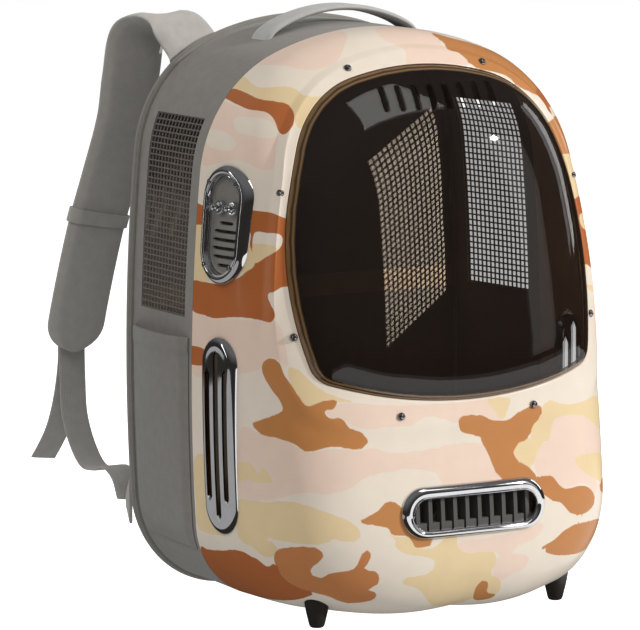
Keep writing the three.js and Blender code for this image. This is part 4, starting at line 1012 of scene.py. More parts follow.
class CARRIER_OT_stage(bpy.types.Operator):
    """Adds the floor, the lights and the photograph's camera"""
    bl_idname = "carrier.stage"
    bl_label = "Stage"

    def execute(self, context):
        scene = context.scene
        scene.view_settings.view_transform = "Standard"
        scene.world = bpy.data.worlds.new("studio")
        scene.world.use_nodes = True
        sky = scene.world.node_tree.nodes["Background"]
        sky.inputs["Color"].default_value = WHITE
        sky.inputs["Strength"].default_value = 1.0
        self.floor()
        for make, table in ((self.room, ROOMS), (self.floor_glow, FLOOR_GLOWS), (self.light, LIGHTS)):
            for name, settings in table.items():
                make(name, *settings)
        self.snoot()
        eye = bpy.data.cameras.new("camera")
        eye.lens, eye.sensor_width, eye.sensor_fit = LENS, SENSOR, "HORIZONTAL"
        eye.clip_end = CAMERA_SEES
        camera = bpy.data.objects.new("camera", eye)
        camera.location = (EYE + (0, SEAM_Y, 0)) * MM
        camera.rotation_euler = (math.pi / 2 - PITCH, 0, -YAW)
        scene.collection.objects.link(camera)
        scene.camera = camera
        return {"FINISHED"}

    def floor(self):
        """A pale square that glows a little, so that only a faint shadow shows on it."""
        square = np.array(((-1, -1, 0), (1, -1, 0), (1, 1, 0), (-1, 1, 0)))
        piece = one_face("floor", square * FLOOR["half"] - (0, 0, FLOOR["below"]))
        finish = Finish("floor", Base_Color=FLOOR["tint"], Roughness=0.7, Emission_Color=WHITE,
                        Emission_Strength=FLOOR["glow"])
        self.show(piece, finish, False, False)

    def floor_glow(self, name, x, y, z, radius, glow, for_dull):
        """A round part of the floor that lights dull faces, or that only glossy faces mirror."""
        turn = np.linspace(0, 2 * math.pi, 65)[:-1]
        rim = np.column_stack((x + radius * np.cos(turn), y + radius * np.sin(turn), np.full(len(turn), z)))
        piece = one_face(name, rim)
        finish = Finish(name, Base_Color=BLACK, Roughness=1.0, Emission_Color=WHITE, Emission_Strength=glow)
        piece.visible_camera = piece.visible_shadow = piece.visible_transmission = False
        self.show(piece, finish, for_dull, not for_dull)

    def room(self, name, low, high, for_dull):
        """The studio's walls, a sphere that glows more towards its top and that the camera looks
        through."""
        lift = np.radians(np.linspace(-88, 88, 45))[:, None]
        turn = np.radians(np.linspace(0, 360, 73)[:-1])[None, :]
        across = np.cos(lift)
        ball = np.stack((across * np.sin(turn), across * np.cos(turn), np.sin(lift) * np.ones_like(turn)), -1)
        piece = skin(name, ball * ROOM_RADIUS, ends="fan")
        finish = Finish(name, Base_Color=BLACK, Roughness=1.0, Emission_Strength=1.0)
        height = finish.put("ShaderNodeSeparateXYZ", Vector=finish.place_in_piece()).outputs["Z"]
        glow = finish.blended(finish.between(height, 0, 1, *ROOM_FADE), low, high)
        finish.made(Emission_Color=glow)
        piece.visible_camera = False
        self.show(piece, finish, for_dull, not for_dull)

    def show(self, piece, finish, for_dull, for_gloss):
        """Finishes a piece of the stage that lights dull faces or not, and that glossy faces mirror or
        not."""
        piece.data.materials.append(finish.material)
        piece.visible_diffuse, piece.visible_glossy = for_dull, for_gloss

    def light(self, name, azimuth, elevation, distance, width, height, power, tint, mirrored_by_gloss):
        """A soft box that faces the carrier's middle."""
        data = bpy.data.lights.new(name, "AREA")
        data.shape = "ELLIPSE" if width == height else "RECTANGLE"
        data.size, data.size_y, data.energy, data.color = width, height, power, tint
        self.hang(data, azimuth, elevation, distance, MIDDLE, mirrored_by_gloss)

    def snoot(self):
        """A narrow spot beside the lamp that shines through the right net and only lights the padded
        back."""
        azimuth, elevation, distance, width = LIGHTS["lamp"][:4]
        data = bpy.data.lights.new("snoot", "SPOT")
        data.energy, data.shadow_soft_size = SNOOT["power"], width / 2
        data.spot_size, data.spot_blend = math.radians(SNOOT["cone"]), SNOOT["blend"]
        lamp = self.hang(data, azimuth, elevation, distance, SNOOT["at"], False)
        reach = bpy.data.collections.new("snoot reach")
        reach.objects.link(bpy.data.objects["back_pad"])
        lamp.light_linking.receiver_collection = reach

    def hang(self, data, azimuth, elevation, distance, target, mirrored_by_gloss):
        """Puts a light at an azimuth from the front to the right, an elevation and a distance from the
        carrier's middle, and turns it to a target."""
        turn, lift = math.radians(azimuth), math.radians(elevation)
        away = Vector((math.sin(turn) * math.cos(lift), -math.cos(turn) * math.cos(lift), math.sin(lift)))
        lamp = bpy.data.objects.new(data.name, data)
        lamp.location = Vector(MIDDLE) + away * distance
        lamp.rotation_euler = (lamp.location - Vector(target)).to_track_quat("Z", "Y").to_euler()
        lamp.visible_camera = False
        lamp.visible_glossy = mirrored_by_gloss
        bpy.context.scene.collection.objects.link(lamp)
        return lamp


class CARRIER_OT_shell(bpy.types.Operator):
    """Makes the moulded front shell with its raised ring and camouflage"""
    bl_idname = "carrier.shell"
    bl_label = "Front shell"

    columns = 400

    def execute(self, context):
        sizes, colours = context.scene.carrier_sizes, context.scene.carrier_colours
        outer = self.outer_rows(sizes)
        inner = self.inner_rows(sizes)
        piece = skin("shell_moulding", np.array(outer + inner), loop=True)
        inside = np.arange(len(piece.data.polygons)) >= len(outer) * self.columns
        dress(piece, [camouflage_finish(colours), moulded_finish("shell inside", colours.inside)], inside)
        grille, vent, control = (trim_oval(trim, TRIM_LAP, 72) for trim in (GRILLE, VENT, CONTROL))
        cutters = [prism("y", grille, *CUTS["grille"])]
        cutters += [flank_prism(vent, sign) for _, sign in SIDES]
        cutters.append(flank_prism(control, -1))
        cut(piece, cutters)
        paint_camouflage(piece)
        place(piece, "shell", "front_shell", sharp=35)
        return {"FINISHED"}

    def edge(self):
        """The window's outline about the dome's centre, as angles and distances."""
        window = arch_loop(WINDOW_ARCH, self.columns)
        up = window[:, 1] - DOME_CENTRE_Z
        return np.arctan2(window[:, 0], up), np.hypot(window[:, 0], up)

    def outer_rows(self, sizes):
        """Rows of the outer face: a fillet at the window's edge, the ring that flares at its sides with the
        square of the way out, its slope that is longer and lower under the window, and the face to the
        seam."""
        angle, near = self.edge()
        ring = reach_of(RING_POLAR, angle)
        low = smooth((-np.cos(angle) - LOW_RING["from"]) / LOW_RING["over"])
        rise = sizes.ring_rise / MM * (1 - LOW_RING["rise_lost"] * low)
        step = sizes.ring_step / MM * (1 + LOW_RING["step_gained"] * low)
        lift = sizes.ring_flare / MM * np.sin(angle) ** 2 * (1 - low)
        start, fillet = ring - step / 2, near + RING_FILLET
        plans = [(near, -sizes.shell_wall / MM / 2)]
        plans += [(near + RING_FILLET * (1 - math.cos(t)), rise - RING_FILLET * (1 - math.sin(t)))
                  for t in np.linspace(0, math.pi / 2, 5)]
        plans += [(fillet + (start - fillet) * t, rise + lift * t ** 2) for t in np.linspace(0, 1, 15)[1:]]
        plans += [(start + step * t, (rise + lift) * (1 - smooth(t))) for t in np.linspace(0, 1, 9)[1:]]
        rows = [dome_point(angle, dome_share(angle, plan, offset), offset) for plan, offset in plans]
        return rows + self.face(angle, dome_share(angle, ring + step / 2, 0.0), 0.0, 64)[1:]

    def inner_rows(self, sizes):
        """Rows of the inner face from the seam back to the window."""
        angle, near = self.edge()
        offset = -sizes.shell_wall / MM
        return self.face(angle, dome_share(angle, near, offset), offset, 30)[::-1]

    def face(self, angle, share, offset, count):
        """Rows from a share to the seam at even steps of depth near it."""
        start = np.arcsin(np.clip(share, 0, 1) ** (EDGE_POWER / 2))
        ways = (1 - np.linspace(0, 1, count)) ** (FACE_POWER / 2)
        shares = [np.sin(math.pi / 2 - (math.pi / 2 - start) * way) ** (2 / EDGE_POWER) for way in ways]
        return [dome_point(angle, row, offset) for row in shares]


class CARRIER_OT_window(bpy.types.Operator):
    """Makes the smoked window with its air slots, and the screws of its ring"""
    bl_idname = "carrier.window"
    bl_label = "Window"

    columns = 360

    def execute(self, context):
        sizes, colours = context.scene.carrier_sizes, context.scene.carrier_colours
        wall = sizes.bubble_wall / MM
        edge = spaced(np.asarray(BUBBLE_EDGE, float), 40)
        edge = np.array([edge[max(0, i - 3):i + 4].mean(0) for i in range(len(edge))])
        edge[0] = BUBBLE_EDGE[0]
        inner = np.column_stack((edge[:, 0] + wall, np.maximum(edge[:, 1] - wall, edge[0, 1])))
        rows = self.face_rows(*edge[-1])[::-1] + [self.edge_row(*spot) for spot in edge[::-1][1:]]
        rows += [self.edge_row(*spot) for spot in inner[::2]] + self.face_rows(*inner[-1])[1:]
        piece = skin("window_blister", np.array(rows), ends="fan")
        slot = oval(WINDOW_SLOTS["width"], WINDOW_SLOTS["length"], 24)
        order = np.arange(WINDOW_SLOTS["count"]) - (WINDOW_SLOTS["count"] - 1) / 2
        middles = WINDOW_SLOTS["middle_x"] + order * WINDOW_SLOTS["pitch"]
        cut(piece, [prism("y", slot + (x, WINDOW_SLOTS["z"]), *CUTS["window"]) for x in middles])
        outline = arch_loop(WINDOW_ARCH, 400)
        spots = np.array_split(points_of(piece)[:, (0, 2)], 12)
        mark(piece, "inset", np.concatenate(
            [np.linalg.norm(part[:, None] - outline[None], axis=2).min(1) for part in spots]))
        place(piece, "window", "window_bubble", sharp=50, finishes=[window_finish(colours)])
        # The ring's screws take the chrome colour darkened to 0.4: painted shade for the dark surroundings
        # that the screws mirror.
        steel = chrome_finish("painted shade chrome", dimmed(colours.chrome, 0.4))
        for side, sign in SIDES:
            for index, (x, z) in enumerate(SCREW_SPOTS):
                name = f"window_screw_{side}_{index + 1}"
                screw = self.screw(f"{name}_head", sign * x, z, sizes.ring_rise / MM)
                place(screw, "chrome", name, sharp=60, finishes=[steel])
        return {"FINISHED"}

    def edge_row(self, inset, rise):
        """The window's outline moved in, at a rise from the shell's face."""
        return on_face(arch_loop(WINDOW_ARCH, self.columns, GAP + inset), rise)

    def face_rows(self, inset, rise):
        """The blister's face: the outline shrunk evenly towards its middle, its rise from the shell's face
        growing by a parabola over the first stretch from the outline."""
        middle = np.array((0, BUBBLE_MIDDLE_Z))
        spokes = arch_loop(WINDOW_ARCH, self.columns, GAP + inset) - middle
        far = np.hypot(spokes[:, 0], spokes[:, 1])
        rows = []
        ways = np.linspace(0, 1, BUBBLE_ROWS["count"]) ** BUBBLE_ROWS["power"]
        for share in 1 - BUBBLE_ROWS["reach"] * ways:
            short = np.clip(1 - far * (1 - share) / BUBBLE_BULGE["over"], 0, 1)
            rows.append(on_face(middle + spokes * share, rise + BUBBLE_BULGE["rise"] * (1 - short ** 2)))
        return rows

    def screw(self, name, x, z, rise):
        """A round screw head with a dimple, square to the shell's face."""
        half = 0.5
        at_x, at_z = np.array((x - half, x + half, x, x)), np.array((z, z, z - half, z + half))
        y = dome_y(at_x, at_z, rise)
        normal = np.array((y[1] - y[0], -1.0, y[3] - y[2]))
        return turned(name, RING_SCREW, np.array((x, y[:2].mean(), z)), normal, 32)


class CARRIER_OT_grille(bpy.types.Operator):
    """Makes the chrome grille bezel and its louvres"""
    bl_idname = "carrier.grille"
    bl_label = "Grille"

    def execute(self, context):
        colours = context.scene.carrier_colours
        outer, inner = trim_oval(GRILLE, 0, 160), trim_oval(GRILLE_OPENING, 0, 160)
        rows = [on_face(outer + (inner - outer) * share, rise) for share, rise in GRILLE_PROFILE]
        bezel = skin("grille_surround", np.array(rows), loop=True)
        place(bezel, "chrome", "grille_bezel", sharp=50, finishes=[chrome_finish("chrome", colours.chrome)])
        # The louvres take the grey plastic darkened to 0.28: painted shade inside the grille's opening.
        dark = moulded_finish("painted shade louvre plastic", dimmed(colours.plastic, 0.28))
        place(self.louvres(), "grey_plastic", "grille_louvers", sharp=35, finishes=[dark])
        return {"FINISHED"}

    def louvres(self):
        """Ten upright fins with a foot to the right, closed loops in front view from one depth behind the
        shell's face to another, of which only what is inside the grille's opening is kept."""
        pitch = GRILLE_OPENING["width"] / FINS["count"]
        middle = GRILLE_OPENING["at"][1]
        top, bottom = middle + FINS["half_height"], middle - FINS["half_height"]
        sill = bottom + FINS["foot_height"]
        fins = []
        for index in range(FINS["count"]):
            x = (index - FINS["count"] / 2) * pitch + FINS["shift"]
            edge, toe = x + FINS["width"], x + FINS["foot_width"]
            corners = np.array(((x, top), (edge, top), (edge, sill), (toe, sill), (toe, bottom), (x, bottom)))
            loop = spaced(corners, 96, closed=True)
            face = on_face(loop, 0.0)
            rows = [face + (0, depth, 0) for depth in FINS["depths"]]
            fins.append(skin(f"fin_{index}", rows, ends="strip"))
        piece = self.join("grille_fins", fins)
        cut(piece, [prism("y", trim_oval(GRILLE_OPENING, -0.5, 96), *CUTS["fins"])], "INTERSECT")
        return piece

    def join(self, name, pieces):
        """Several pieces' meshes as one."""
        points = np.vstack([points_of(piece) for piece in pieces])
        shift, groups = 0, []
        for piece in pieces:
            quads = values(piece.data.loops, "vertex_index", 1, np.int32).reshape(-1, 4) + shift
            groups.append((quads, np.zeros((quads.size, 2))))
            shift += len(piece.data.vertices)
            bpy.data.objects.remove(piece)
        return mesh_of(name, points, groups)


class CARRIER_OT_vents(bpy.types.Operator):
    """Makes the chrome vents with three upright slots on both flanks"""
    bl_idname = "carrier.vents"
    bl_label = "Side vents"

    def execute(self, context):
        colours = context.scene.carrier_colours
        crest = context.scene.carrier_sizes.trim_rise / MM
        lip = ((0, -3), (-0.1, 0.4), (0.3, 1.6), (1.0, 2.8), (2.2, 4.0), (3.8, crest - 0.2), (5.5, crest),
               (8, crest - 0.2), (12, crest - 0.4), (16, crest - 0.4), (20, crest - 0.4), (21.7, crest - 0.4))
        under = ((21.7, crest - 2.4), (16, crest - 2.4), (8, crest - 2.4), (5.5, crest - 3), (4, -3))
        rows = np.concatenate((on_flank(VENT, lip)[::-1], on_flank(VENT, under)[::-1]))
        steel = chrome_finish("chrome", colours.chrome)
        for side, sign in SIDES:
            piece = skin(f"side_vent_{side}_trim", mirrored(rows, sign), ends="strip")
            cut(piece, [flank_prism(self.slot(shift, size / 2), sign) for shift, size in VENT_SLOTS])
            place(piece, "chrome", f"side_vent_{side}", sharp=40, finishes=[steel])
        return {"FINISHED"}

    def slot(self, shift, half):
        """An upright slot with pointed ends, moved along the flank from the vent's middle."""
        side, point = VENT_SLOT["half_width"], half - VENT_SLOT["point"]
        corners = ((0, half), (side, point), (side, -point), (0, -half), (-side, -point), (-side, point))
        return np.array(corners) + (VENT["at"][0] + shift, VENT["at"][1])


class CARRIER_OT_control(bpy.types.Operator):
    """Makes the control oval: chrome bezel, grey panel and two toggle switches"""
    bl_idname = "carrier.control"
    bl_label = "Control oval"

    def execute(self, context):
        colours = context.scene.carrier_colours
        crest = context.scene.carrier_sizes.trim_rise / MM
        steel = chrome_finish("chrome", colours.chrome)
        profile = ((0, -6.5), (-0.1, 0.2), (0.2, 1.6), (1.0, 3.0), (2.4, 4.4), (4.0, crest),
                   (5.4, crest - 0.2), (6.2, crest - 0.9), (6.6, crest - 0.7), (7.4, crest - 0.5),
                   (8.0, crest - 1.2), (8.0, -3), (8.0, -6.5))
        bezel = skin("control_surround", on_flank(CONTROL, profile), loop=True)
        place(bezel, "chrome", "control_bezel", sharp=50, finishes=[steel])
        self.panel(colours)
        # The bezel's screws take the chrome colour darkened to 0.5: painted shade for the dark surroundings
        # that they mirror.
        dark = moulded_finish("painted shade screw chrome", dimmed(colours.chrome, 0.5), 0.15, 0.3, Metallic=1.0)
        for index, (y, z) in enumerate(BEZEL_SCREWS):
            seat, normal = self.seat(y, z, crest - 1.4)
            screw = turned(f"control_screw_{index + 1}", BEZEL_SCREW, seat, normal, 24)
            place(screw, "chrome", sharp=60, finishes=[dark])
        for index, share in enumerate((-0.5, 0.5)):
            y = SWITCH["middle_y"] - share * SWITCH["pitch"]
            seat, normal = self.seat(y, SWITCH["z"], GAP - PANEL["depth"])
            self.switch(index + 1, seat, normal, steel)
        return {"FINISHED"}

    def seat(self, y, z, rise):
        """A point of the left flank and the outward direction there, from small differences."""
        step = 2
        at_y, at_z = np.array((y, y - step, y + step, y, y)), np.array((z, z, z, z - step, z + step))
        x = flank_x(at_y, at_z, np.full(5, float(rise)))
        outward = np.array((-1.0, (x[2] - x[1]) / (2 * step), (x[4] - x[3]) / (2 * step)))
        return np.array((x[0], y, z)), outward

    def panel(self, colours):
        """The recessed panel: ovals shrunk to the middle at one depth, with a lip round them, and back
        underneath; six slots are cut through it, and a dark plate behind them paints the shade seen through
        them."""
        insets = GAP + np.array((0, 0.4, 1.2, 4, 9, 14, 18.6))
        lip = np.array((1, 1, 0, 0, 0, 0, 0)) * PANEL["lip"] - PANEL["depth"]

        def sheet(insets, rises):
            return on_flank(PANEL, list(zip(insets, np.broadcast_to(rises, len(insets)))), 120)

        face, under = sheet(insets, lip), sheet(insets, -PANEL["depth"] - PANEL["thick"])
        piece = skin("control_plate", np.concatenate((face[::-1], under)), ends="strip")
        slots = [oval(size, PANEL["slot"], 20) + (PANEL["at"][0], z) for z, size in PANEL_SLOTS]
        cut(piece, [flank_prism(slot, -1) for slot in slots])
        # The plate behind the slots is a dark sheet with no part of its own: painted shade seen through the
        # slots.
        front, rear = (sheet(insets[1:], -PANEL["depth"] - depth) for depth in PANEL["shade_plate_depths"])
        back = skin("control_plate_shade_backing", np.concatenate((front[::-1], rear)), ends="strip")
        dark = moulded_finish("painted shade plastic", dimmed(colours.plastic, 0.12), 0.4, 0.6)
        place(back, "grey_plastic", finishes=[dark])
        grey = moulded_finish("panel plastic", colours.plastic)
        place(piece, "grey_plastic", "control_panel", sharp=40, finishes=[grey])

    def switch(self, number, seat, normal, steel):
        """A knurled collar, its radius rippled on the side, and a lever whose neck ends in a ball."""
        def knurl(angle, profile):
            return KNURL["depth"] * np.cos(KNURL["count"] * angle) * (profile[:, :1] > KNURL["from_radius"])

        collar = turned(f"switch_collar_{number}_knurled", COLLAR, seat, normal, 144, knurl)
        place(collar, "chrome", f"switch_collar_{number}", sharp=50, finishes=[steel])
        angle = np.linspace(-1.05, math.pi / 2 - 0.03, 14)
        ball = np.column_stack((np.cos(angle), np.sin(angle))) * LEVER["ball"] + (0, LEVER["ball_height"])
        lever = turned(f"switch_lever_{number}_ball", np.vstack((LEVER["neck"], ball)), seat, normal, 40)
        place(lever, "chrome", f"switch_lever_{number}", body=f"lever_{number}", sharp=60, finishes=[steel])


class CARRIER_OT_body(bpy.types.Operator):
    """Makes the cloth body, the side nets and the back rim"""
    bl_idname = "carrier.body"
    bl_label = "Cloth body"

    columns = 420

    def execute(self, context):
        sizes, colours = context.scene.carrier_sizes, context.scene.carrier_colours
        outer = [self.loop(y, 0.0) for y in np.linspace(GAP, GUSSET_DEPTH, 30)]
        inner = [self.loop(y, sizes.cloth_wall / MM) for y in np.linspace(GUSSET_DEPTH, GAP, 12)]
        piece = skin("cloth_gusset", np.array(outer + inner), loop=True)
        grey = cloth_finish("grey cloth", colours.cloth, 0.9, 0.08)
        # The body's inner face takes the lining colour darkened to 0.6: painted shade inside the body. The
        # back's lining keeps the full colour.
        lining = cloth_finish("painted shade lining cloth", dimmed(colours.lining, 0.6), 0.9, 0.06)
        inside = np.arange(len(piece.data.polygons)) >= len(outer) * self.columns
        dress(piece, [grey, lining], inside)
        y0, y1, z0, z1 = MESH["y0"], MESH["y1"], MESH["z0"], MESH["z1"]
        opening = np.array(((y0, z0), (y1, z0), (y1, z1), (y0, z1)))
        cut(piece, [prism("x", opening, *CUTS["net"])])
        place(piece, "grey_cloth", "gusset", sharp=35)
        round_length = run_length(self.loop(GUSSET_DEPTH / 2, 0))
        thread = cloth_finish("net thread", colours.net, 0.6, 0.05)
        for side, sign in SIDES:
            net = self.net(f"side_mesh_{side}_net", sign, sizes)
            place(net, "net", f"side_mesh_{side}", finishes=[thread])
        self.rim(cloth_finish("rim cloth", colours.cloth, 0.9, 0.08))
        return {"FINISHED"}

    def loop(self, y, inset):
        """The body's outline at a depth, evenly from the seam's to the rim's."""
        share = y / GUSSET_DEPTH
        seam, rim = (arch_loop(arch, self.columns, inset) for arch in (SEAM_ARCH, RIM_ARCH))
        return upright(seam * (1 - share) + rim * share, y)

    def net(self, name, sign, sizes):
        """Threads up and across as flat four-sided bars: each is a run of (y, z) points laid on the body's
        side, with a point on either edge, outside and inside."""
        half = sizes.net_wire / MM / 2
        y_ends, z_ends = (MESH["y0"], MESH["y1"]), (MESH["z0"], MESH["z1"])
        inwards = np.array((NET["edge"], -NET["edge"]))
        y_lines = np.linspace(*(y_ends + inwards), sizes.net_columns + 1)
        z_lines = np.linspace(*(z_ends + inwards), sizes.net_rows + 1)
        runs = [(np.full(40, y), np.linspace(*z_ends, 40), (half, 0)) for y in y_lines]
        runs += [(np.linspace(*y_ends, 20), np.full(20, z), (0, half)) for z in z_lines]
        points, groups, shift = [], [], 0
        for y, z, (dy, dz) in runs:
            corners = []
            for edge, depth in ((-1, NET["front"]), (1, NET["front"]), (1, NET["back"]), (-1, NET["back"])):
                at_y, at_z = y + edge * dy, z + edge * dz
                corners.append(np.column_stack((sign * (half_width(at_y, at_z) - depth), at_y, at_z)))
            bar = np.stack(corners, 1).reshape(-1, 3)
            i = np.arange(len(y) - 1)[:, None] * 4
            c = np.arange(4)[None, :]
            quads = np.stack((i + c, i + (c + 1) % 4, i + 4 + (c + 1) % 4, i + 4 + c), -1).reshape(-1, 4)
            quads = np.vstack((quads, c[:, ::-1], c + 4 * (len(y) - 1)))
            points.append(bar)
            groups.append((quads + shift, bar[quads.ravel()][:, 1:]))
            shift += len(bar)
        return mesh_of(name, np.vstack(points), groups)

    def rim(self, finish):
        """The stiff back edge: a rounded section carried round the rim's outline, with a fine groove near
        its front."""
        front = GUSSET_DEPTH + GAP
        rows = [upright(arch_loop(RIM_ARCH, 360, inset), front + back) for inset, back in RIM_SECTION]
        piece = skin("back_rim_binding", np.array(rows), loop=True)
        place(piece, "grey_cloth", "back_rim", sharp=60, finishes=[finish])


class CARRIER_OT_back(bpy.types.Operator):
    """Makes the padded back panel by swelling it as cloth"""
    bl_idname = "carrier.back"
    bl_label = "Back panel"

    def execute(self, context):
        colours = context.scene.carrier_colours
        front = GUSSET_DEPTH + GAP
        rows = [upright(arch_loop(RIM_ARCH, 300, inset), front + back) for inset, back in PAD_SECTION]
        piece = skin("back_pad", np.array(rows), ends="strip")
        remesh = piece.modifiers.new("even", "REMESH")
        remesh.mode = "VOXEL"
        remesh.voxel_size = PAD["voxel"] * MM
        settle(piece)
        self.swell(context, piece, PAD["swell"] * MM)
        self.sew(piece)
        corners = values(piece.data.loops, "vertex_index", 1, np.int32)[:, 0]
        spots = points_of(piece)[corners][:, (0, 2)] * MM
        piece.data.uv_layers.new(name="cloth").data.foreach_set("uv", spots.astype(np.float32).ravel())
        finer = piece.modifiers.new("finer", "SUBSURF")
        finer.levels = finer.render_levels = 1
        inner = values(piece.data.polygons, "normal", 3)[:, 1] < -0.4
        taped = np.abs(values(piece.data.polygons, "center", 3)[:, 2] / MM - TAPE["z"]) < TAPE["width"] / 2
        finishes = [cloth_finish("back cloth", colours.cloth, 1.6, 0.3),
                    cloth_finish("back lining", colours.lining, 0.9, 0.06),
                    cloth_finish("inner tape", colours.tape, 0.9, 0.06)]
        dress(piece, finishes, inner * (1 + taped))
        piece.data.shade_smooth()
        place(piece, "grey_cloth", "back_panel")
        return {"FINISHED"}

    def swell(self, context, piece, most):
        """Cloth under pressure with no gravity for 20 frames; no point moves further than a cap."""
        cloth = piece.modifiers.new("swell", "CLOTH")
        cloth.settings.use_pressure = True
        cloth.settings.uniform_pressure_force = PAD["pressure"]
        cloth.settings.effector_weights.gravity = 0
        before = values(piece.data.vertices, "co", 3)
        for number in range(1, 21):
            context.scene.frame_set(number)
        settled = piece.evaluated_get(context.evaluated_depsgraph_get()).data
        move = values(settled.vertices, "co", 3) - before
        size = np.maximum(np.linalg.norm(move, axis=1), TINY)
        move *= np.minimum(1, most / size)[:, None]
        piece.modifiers.clear()
        piece.data.vertices.foreach_set("co", (before + move).ravel())
        piece.data.update()
        context.scene.frame_set(1)

    def sew(self, piece):
        """Presses sewn channels into the back: two upright lines and one across, each with a bell-shaped
        section."""
        points = points_of(piece)
        outward = points[:, 1] > GUSSET_DEPTH + GAP + SEWN["behind"]
        lines = np.minimum(np.abs(np.abs(points[:, 0]) - SEWN["x"]), np.abs(points[:, 2] - SEWN["z"]))
        points[:, 1] -= SEWN["depth"] * np.exp(-(lines / SEWN["width"]) ** 2) * outward
        put_points(piece.data, points)
        piece.data.update()


class CARRIER_OT_pockets(bpy.types.Operator):
    """Makes the open-topped side pockets with their hems"""
    bl_idname = "carrier.pockets"
    bl_label = "Side pockets"

    def execute(self, context):
        sizes, colours = context.scene.carrier_sizes, context.scene.carrier_colours
        grey = cloth_finish("pocket cloth", colours.cloth, 0.9, 0.08)
        outer, inner = self.faces(sizes.pocket_wall / MM)
        rows = np.concatenate((outer, inner[:, ::-1]), axis=1)
        for side, sign in SIDES:
            piece = skin(f"side_pocket_{side}_cloth", mirrored(rows, sign), ends="strip")
            place(piece, "grey_cloth", f"side_pocket_{side}", sharp=50, finishes=[grey])
        return {"FINISHED"}

    def faces(self, wall):
        """The left pocket's outer and inner face: it stands off the body's side by a part that eases to the
        sewn edges and a bulge that is a half wave across and grows upwards, and its top has a thicker
        hem."""
        share = np.linspace(0, 1, 41)[:, None]
        up = np.linspace(0, 1, 61)[None, :]
        y = POCKET["y0"] + (POCKET["y1"] - POCKET["y0"]) * share * np.ones_like(up)
        z = POCKET["z0"] + (POCKET["z1"] - POCKET["z0"]) * up * np.ones_like(share)
        ease, fold = POCKET_EASE, POCKET_HEM
        sewn = (smooth(np.minimum(share, 1 - share) / ease["sides"] + ease["start"])
                * smooth(up / ease["foot"] + ease["start"]))
        bulge = POCKET["bulge"] * up ** 1.5 * np.sin(math.pi * share)
        stand = POCKET["stand"] * (ease["stand"] + (1 - ease["stand"]) * sewn) + bulge
        over_top = z - POCKET["z1"]
        hem = smooth((over_top + POCKET["hem"] + fold["step"]) / fold["step"])
        top = smooth((over_top + fold["over"]) / fold["over"])
        cloth = wall * (ease["wall"] + (1 - ease["wall"]) * sewn)
        thick = cloth + hem * (fold["thick"] - fold["thinned"] * top)
        width = half_width(y, z)
        return np.stack((-(width + stand + thick), y, z), -1), np.stack((-(width + stand), y, z), -1)


class CARRIER_OT_feet(bpy.types.Operator):
    """Makes the two front feet"""
    bl_idname = "carrier.feet"
    bl_label = "Feet"

    def execute(self, context):
        finish = moulded_finish("foot plastic", context.scene.carrier_colours.foot, 0.3, 0.45)
        for side, sign in SIDES:
            seat = (sign * FOOT["x"], FOOT["y"], 0)
            piece = turned(f"front_foot_{side}_peg", FOOT_PROFILE, seat, (0, 0, 1), 40)
            place(piece, "foot_plastic", f"front_foot_{side}", sharp=50, finishes=[finish])
        return {"FINISHED"}


class CARRIER_OT_handle(bpy.types.Operator):
    """Makes the carry handle over the crown"""
    bl_idname = "carrier.handle"
    bl_label = "Carry handle"

    def execute(self, context):
        sizes, colours = context.scene.carrier_sizes, context.scene.carrier_colours
        route = [(x, HANDLE_Y, z) for x, z in HANDLE_ROUTE]
        section = flat_section(sizes.handle_width / MM, sizes.handle_thick / MM, 1.4)
        piece = skin("top_handle_band", band_rows(route, (0, 1, 0), section, 90), ends="strip")
        finish = cloth_finish("handle cloth", colours.handle, 1.2, 0.12)
        place(piece, "handle_cloth", "top_handle", sharp=60, finishes=[finish])
        return {"FINISHED"}


